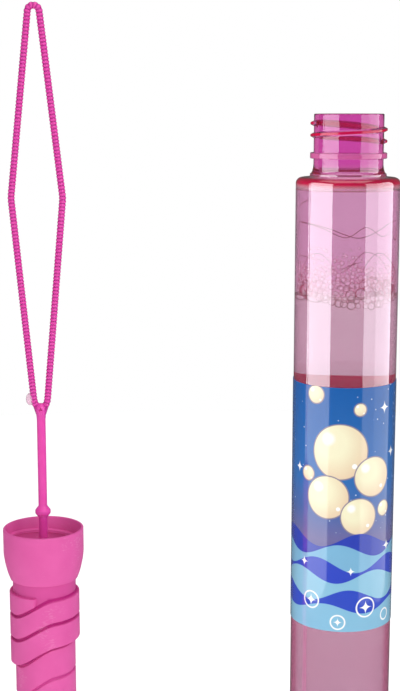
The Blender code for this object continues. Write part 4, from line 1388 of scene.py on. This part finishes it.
def white_to_view(name, share):
    """Paper that shows white to the eye, straight or by clear or shiny things, and still takes a shadow."""
    made, place = new_material(name)
    paper = add_node(made, "TexNoise", {"Vector": place, "Scale": 40.0, "Detail": 2.0})
    matte = add_node(made, "BsdfDiffuse", {"Color": layer(made, "#f4f4f4", WHITE, paper)})
    glow = add_node(made, "Emission", {"Strength": 1.0})
    path = add_node(made, "LightPath").outputs
    seen = path["Is Camera Ray"]
    for kind in ("Is Glossy Ray", "Is Transmission Ray"):
        seen = add_node(made, "Math", {0: seen, 1: path[kind]}, operation="MAXIMUM")
    shown = add_node(made, "Math", {0: seen, 1: share}, operation="MULTIPLY")
    return put_out(made, Surface=add_node(made, "MixShader", {0: shown, 1: matte, 2: glow}))


class BUBBLE_WAND_OT_stage(Operator):
    """Set up the floor, the backdrop, the lamps and the camera"""

    bl_idname = "bubble_wand.stage"
    bl_label = "Stage"

    def execute(self, context):
        stage = context.scene.bubble_wand.stage
        self.floor_and_backdrop()
        self.world(stage)
        self.lamps()
        self.camera(stage)
        context.scene.view_settings.view_transform = "Standard"
        return {"FINISHED"}

    def floor_and_backdrop(self):
        bm = bmesh.new()
        bmesh.ops.create_circle(bm, cap_ends=True, segments=96, radius=FLOOR_RADIUS)
        floor = loose_object(bm, "floor")
        bm = bmesh.new()
        behind = Matrix.Translation(BACKDROP_PLACE) @ UPRIGHT
        bmesh.ops.create_grid(bm, x_segments=2, y_segments=2, size=BACKDROP_SIZE, matrix=behind)
        backdrop = loose_object(bm, "backdrop")
        for paper, share in ((floor, 0.6), (backdrop, 1.0)):
            paper.visible_glossy = False
            paper.data.materials.append(white_to_view("white paper " + paper.name, share))

    def world(self, stage):
        world = bpy.data.worlds.new("soft room")
        world.use_nodes = True
        world.node_tree.nodes.clear()
        path = add_node(world, "LightPath").outputs
        # Reflections see a darker room than matte things do.
        room = span(path["Is Glossy Ray"], 0.0, 1.0, stage.ambient, stage.mirrored)
        strength = add_node(world, "MapRange", room)
        dim = add_node(world, "Background", {"Color": colour(WHITE), "Strength": strength})
        white = add_node(world, "Background", {"Color": colour(WHITE), "Strength": 1.0})
        straight = {0: path["Is Camera Ray"], 1: path["Is Transmission Ray"]}
        seen = add_node(world, "Math", straight, operation="MAXIMUM")
        mixed = add_node(world, "MixShader", {0: seen, 1: dim, 2: white})
        add_node(world, "OutputWorld", {"Surface": mixed})
        bpy.context.scene.world = world

    def lamps(self):
        for group, strength, tint, pieces in BESIDE_GROUPS:
            for side, azimuth, width, radiance in BESIDE_LAMPS:
                at, aim = beside(BOTTLE_X, azimuth, 0.25, 0.2), (BOTTLE_X, 0.0, 0.2)
                softbox(group + " " + side, at, aim, width, 0.4, strength * radiance, pieces, tint)
        # Through the front of the bottle onto the inner side of the label behind
        at, aim = (BOTTLE_X, -0.45, 0.75), (BOTTLE_X, 0.0, LABEL_HIGH.z)
        softbox("label inside", at, aim, 0.3, 0.3, 6.0, ("label_wrap",))
        aim = (HANDLE_X, 0.0, 0.15)
        softbox("handle key", beside(HANDLE_X, 38.0, 0.7, 0.5), aim, 0.6, 0.6, 2.5, HANDLE_PIECES)
        softbox("handle fill", beside(HANDLE_X, -35.0, 0.8, 0.3), aim, 0.5, 0.6, 0.8, HANDLE_PIECES)
        softbox("overhead", (0.0, -0.1, 1.3), (0.0, 0.0, 0.0), 1.2, 1.2, 1.2)
        softbox("floor", (0.0, 0.0, 1.4), (0.0, 0.0, 0.0), 3.0, 3.0, 1.4, ("floor",))

    def camera(self, stage):
        data = bpy.data.cameras.new("camera")
        data.sensor_width, data.lens = 36.0, stage.lens
        data.clip_start, data.clip_end = 0.01, 20.0
        camera = bpy.data.objects.new("camera", data)
        bpy.context.scene.collection.objects.link(camera)
        camera.location = CAMERA_PLACE
        camera.rotation_euler = (math.radians(90.0) - stage.tilt, 0.0, 0.0)
        bpy.context.scene.camera = camera


class BUBBLE_WAND_PT_pieces(Panel):
    """Lists the pieces of the bubble wand"""

    bl_idname = "BUBBLE_WAND_PT_pieces"
    bl_label = "Bubble Wand"
    bl_space_type = "VIEW_3D"
    bl_region_type = "UI"
    bl_category = "Bubble Wand"

    def draw(self, context):
        settings = context.scene.bubble_wand
        for name, operators in (
            ("bottle", ("bottle",)),
            ("solution", ("solution", "foam")),
            ("label", ("label",)),
            ("handle", ("grip", "fittings")),
            ("wand", ("wand",)),
            ("stage", ("stage",)),
        ):
            box = self.layout.box()
            for operator in operators:
                box.operator("bubble_wand." + operator)
            group = getattr(settings, name)
            for key in group.__annotations__:
                box.prop(group, key)


CLASSES = (
    BubbleWandBottleSettings,
    BubbleWandSolutionSettings,
    BubbleWandLabelSettings,
    BubbleWandHandleSettings,
    BubbleWandWandSettings,
    BubbleWandStageSettings,
    BubbleWandSettings,
    BUBBLE_WAND_OT_bottle,
    BUBBLE_WAND_OT_solution,
    BUBBLE_WAND_OT_foam,
    BUBBLE_WAND_OT_label,
    BUBBLE_WAND_OT_grip,
    BUBBLE_WAND_OT_fittings,
    BUBBLE_WAND_OT_wand,
    BUBBLE_WAND_OT_stage,
    BUBBLE_WAND_PT_pieces,
)


def register():
    for cls in CLASSES:
        bpy.utils.register_class(cls)
    bpy.types.Scene.bubble_wand = PointerProperty(type=BubbleWandSettings)


def unregister():
    del bpy.types.Scene.bubble_wand
    for cls in reversed(CLASSES):
        bpy.utils.unregister_class(cls)


def main():
    register()
    bpy.ops.bubble_wand.bottle()
    bpy.ops.bubble_wand.solution()
    bpy.ops.bubble_wand.foam()
    bpy.ops.bubble_wand.label()
    bpy.ops.bubble_wand.grip()
    bpy.ops.bubble_wand.fittings()
    bpy.ops.bubble_wand.wand()
    bpy.ops.bubble_wand.stage()


if __name__ == "__main__":
    main()
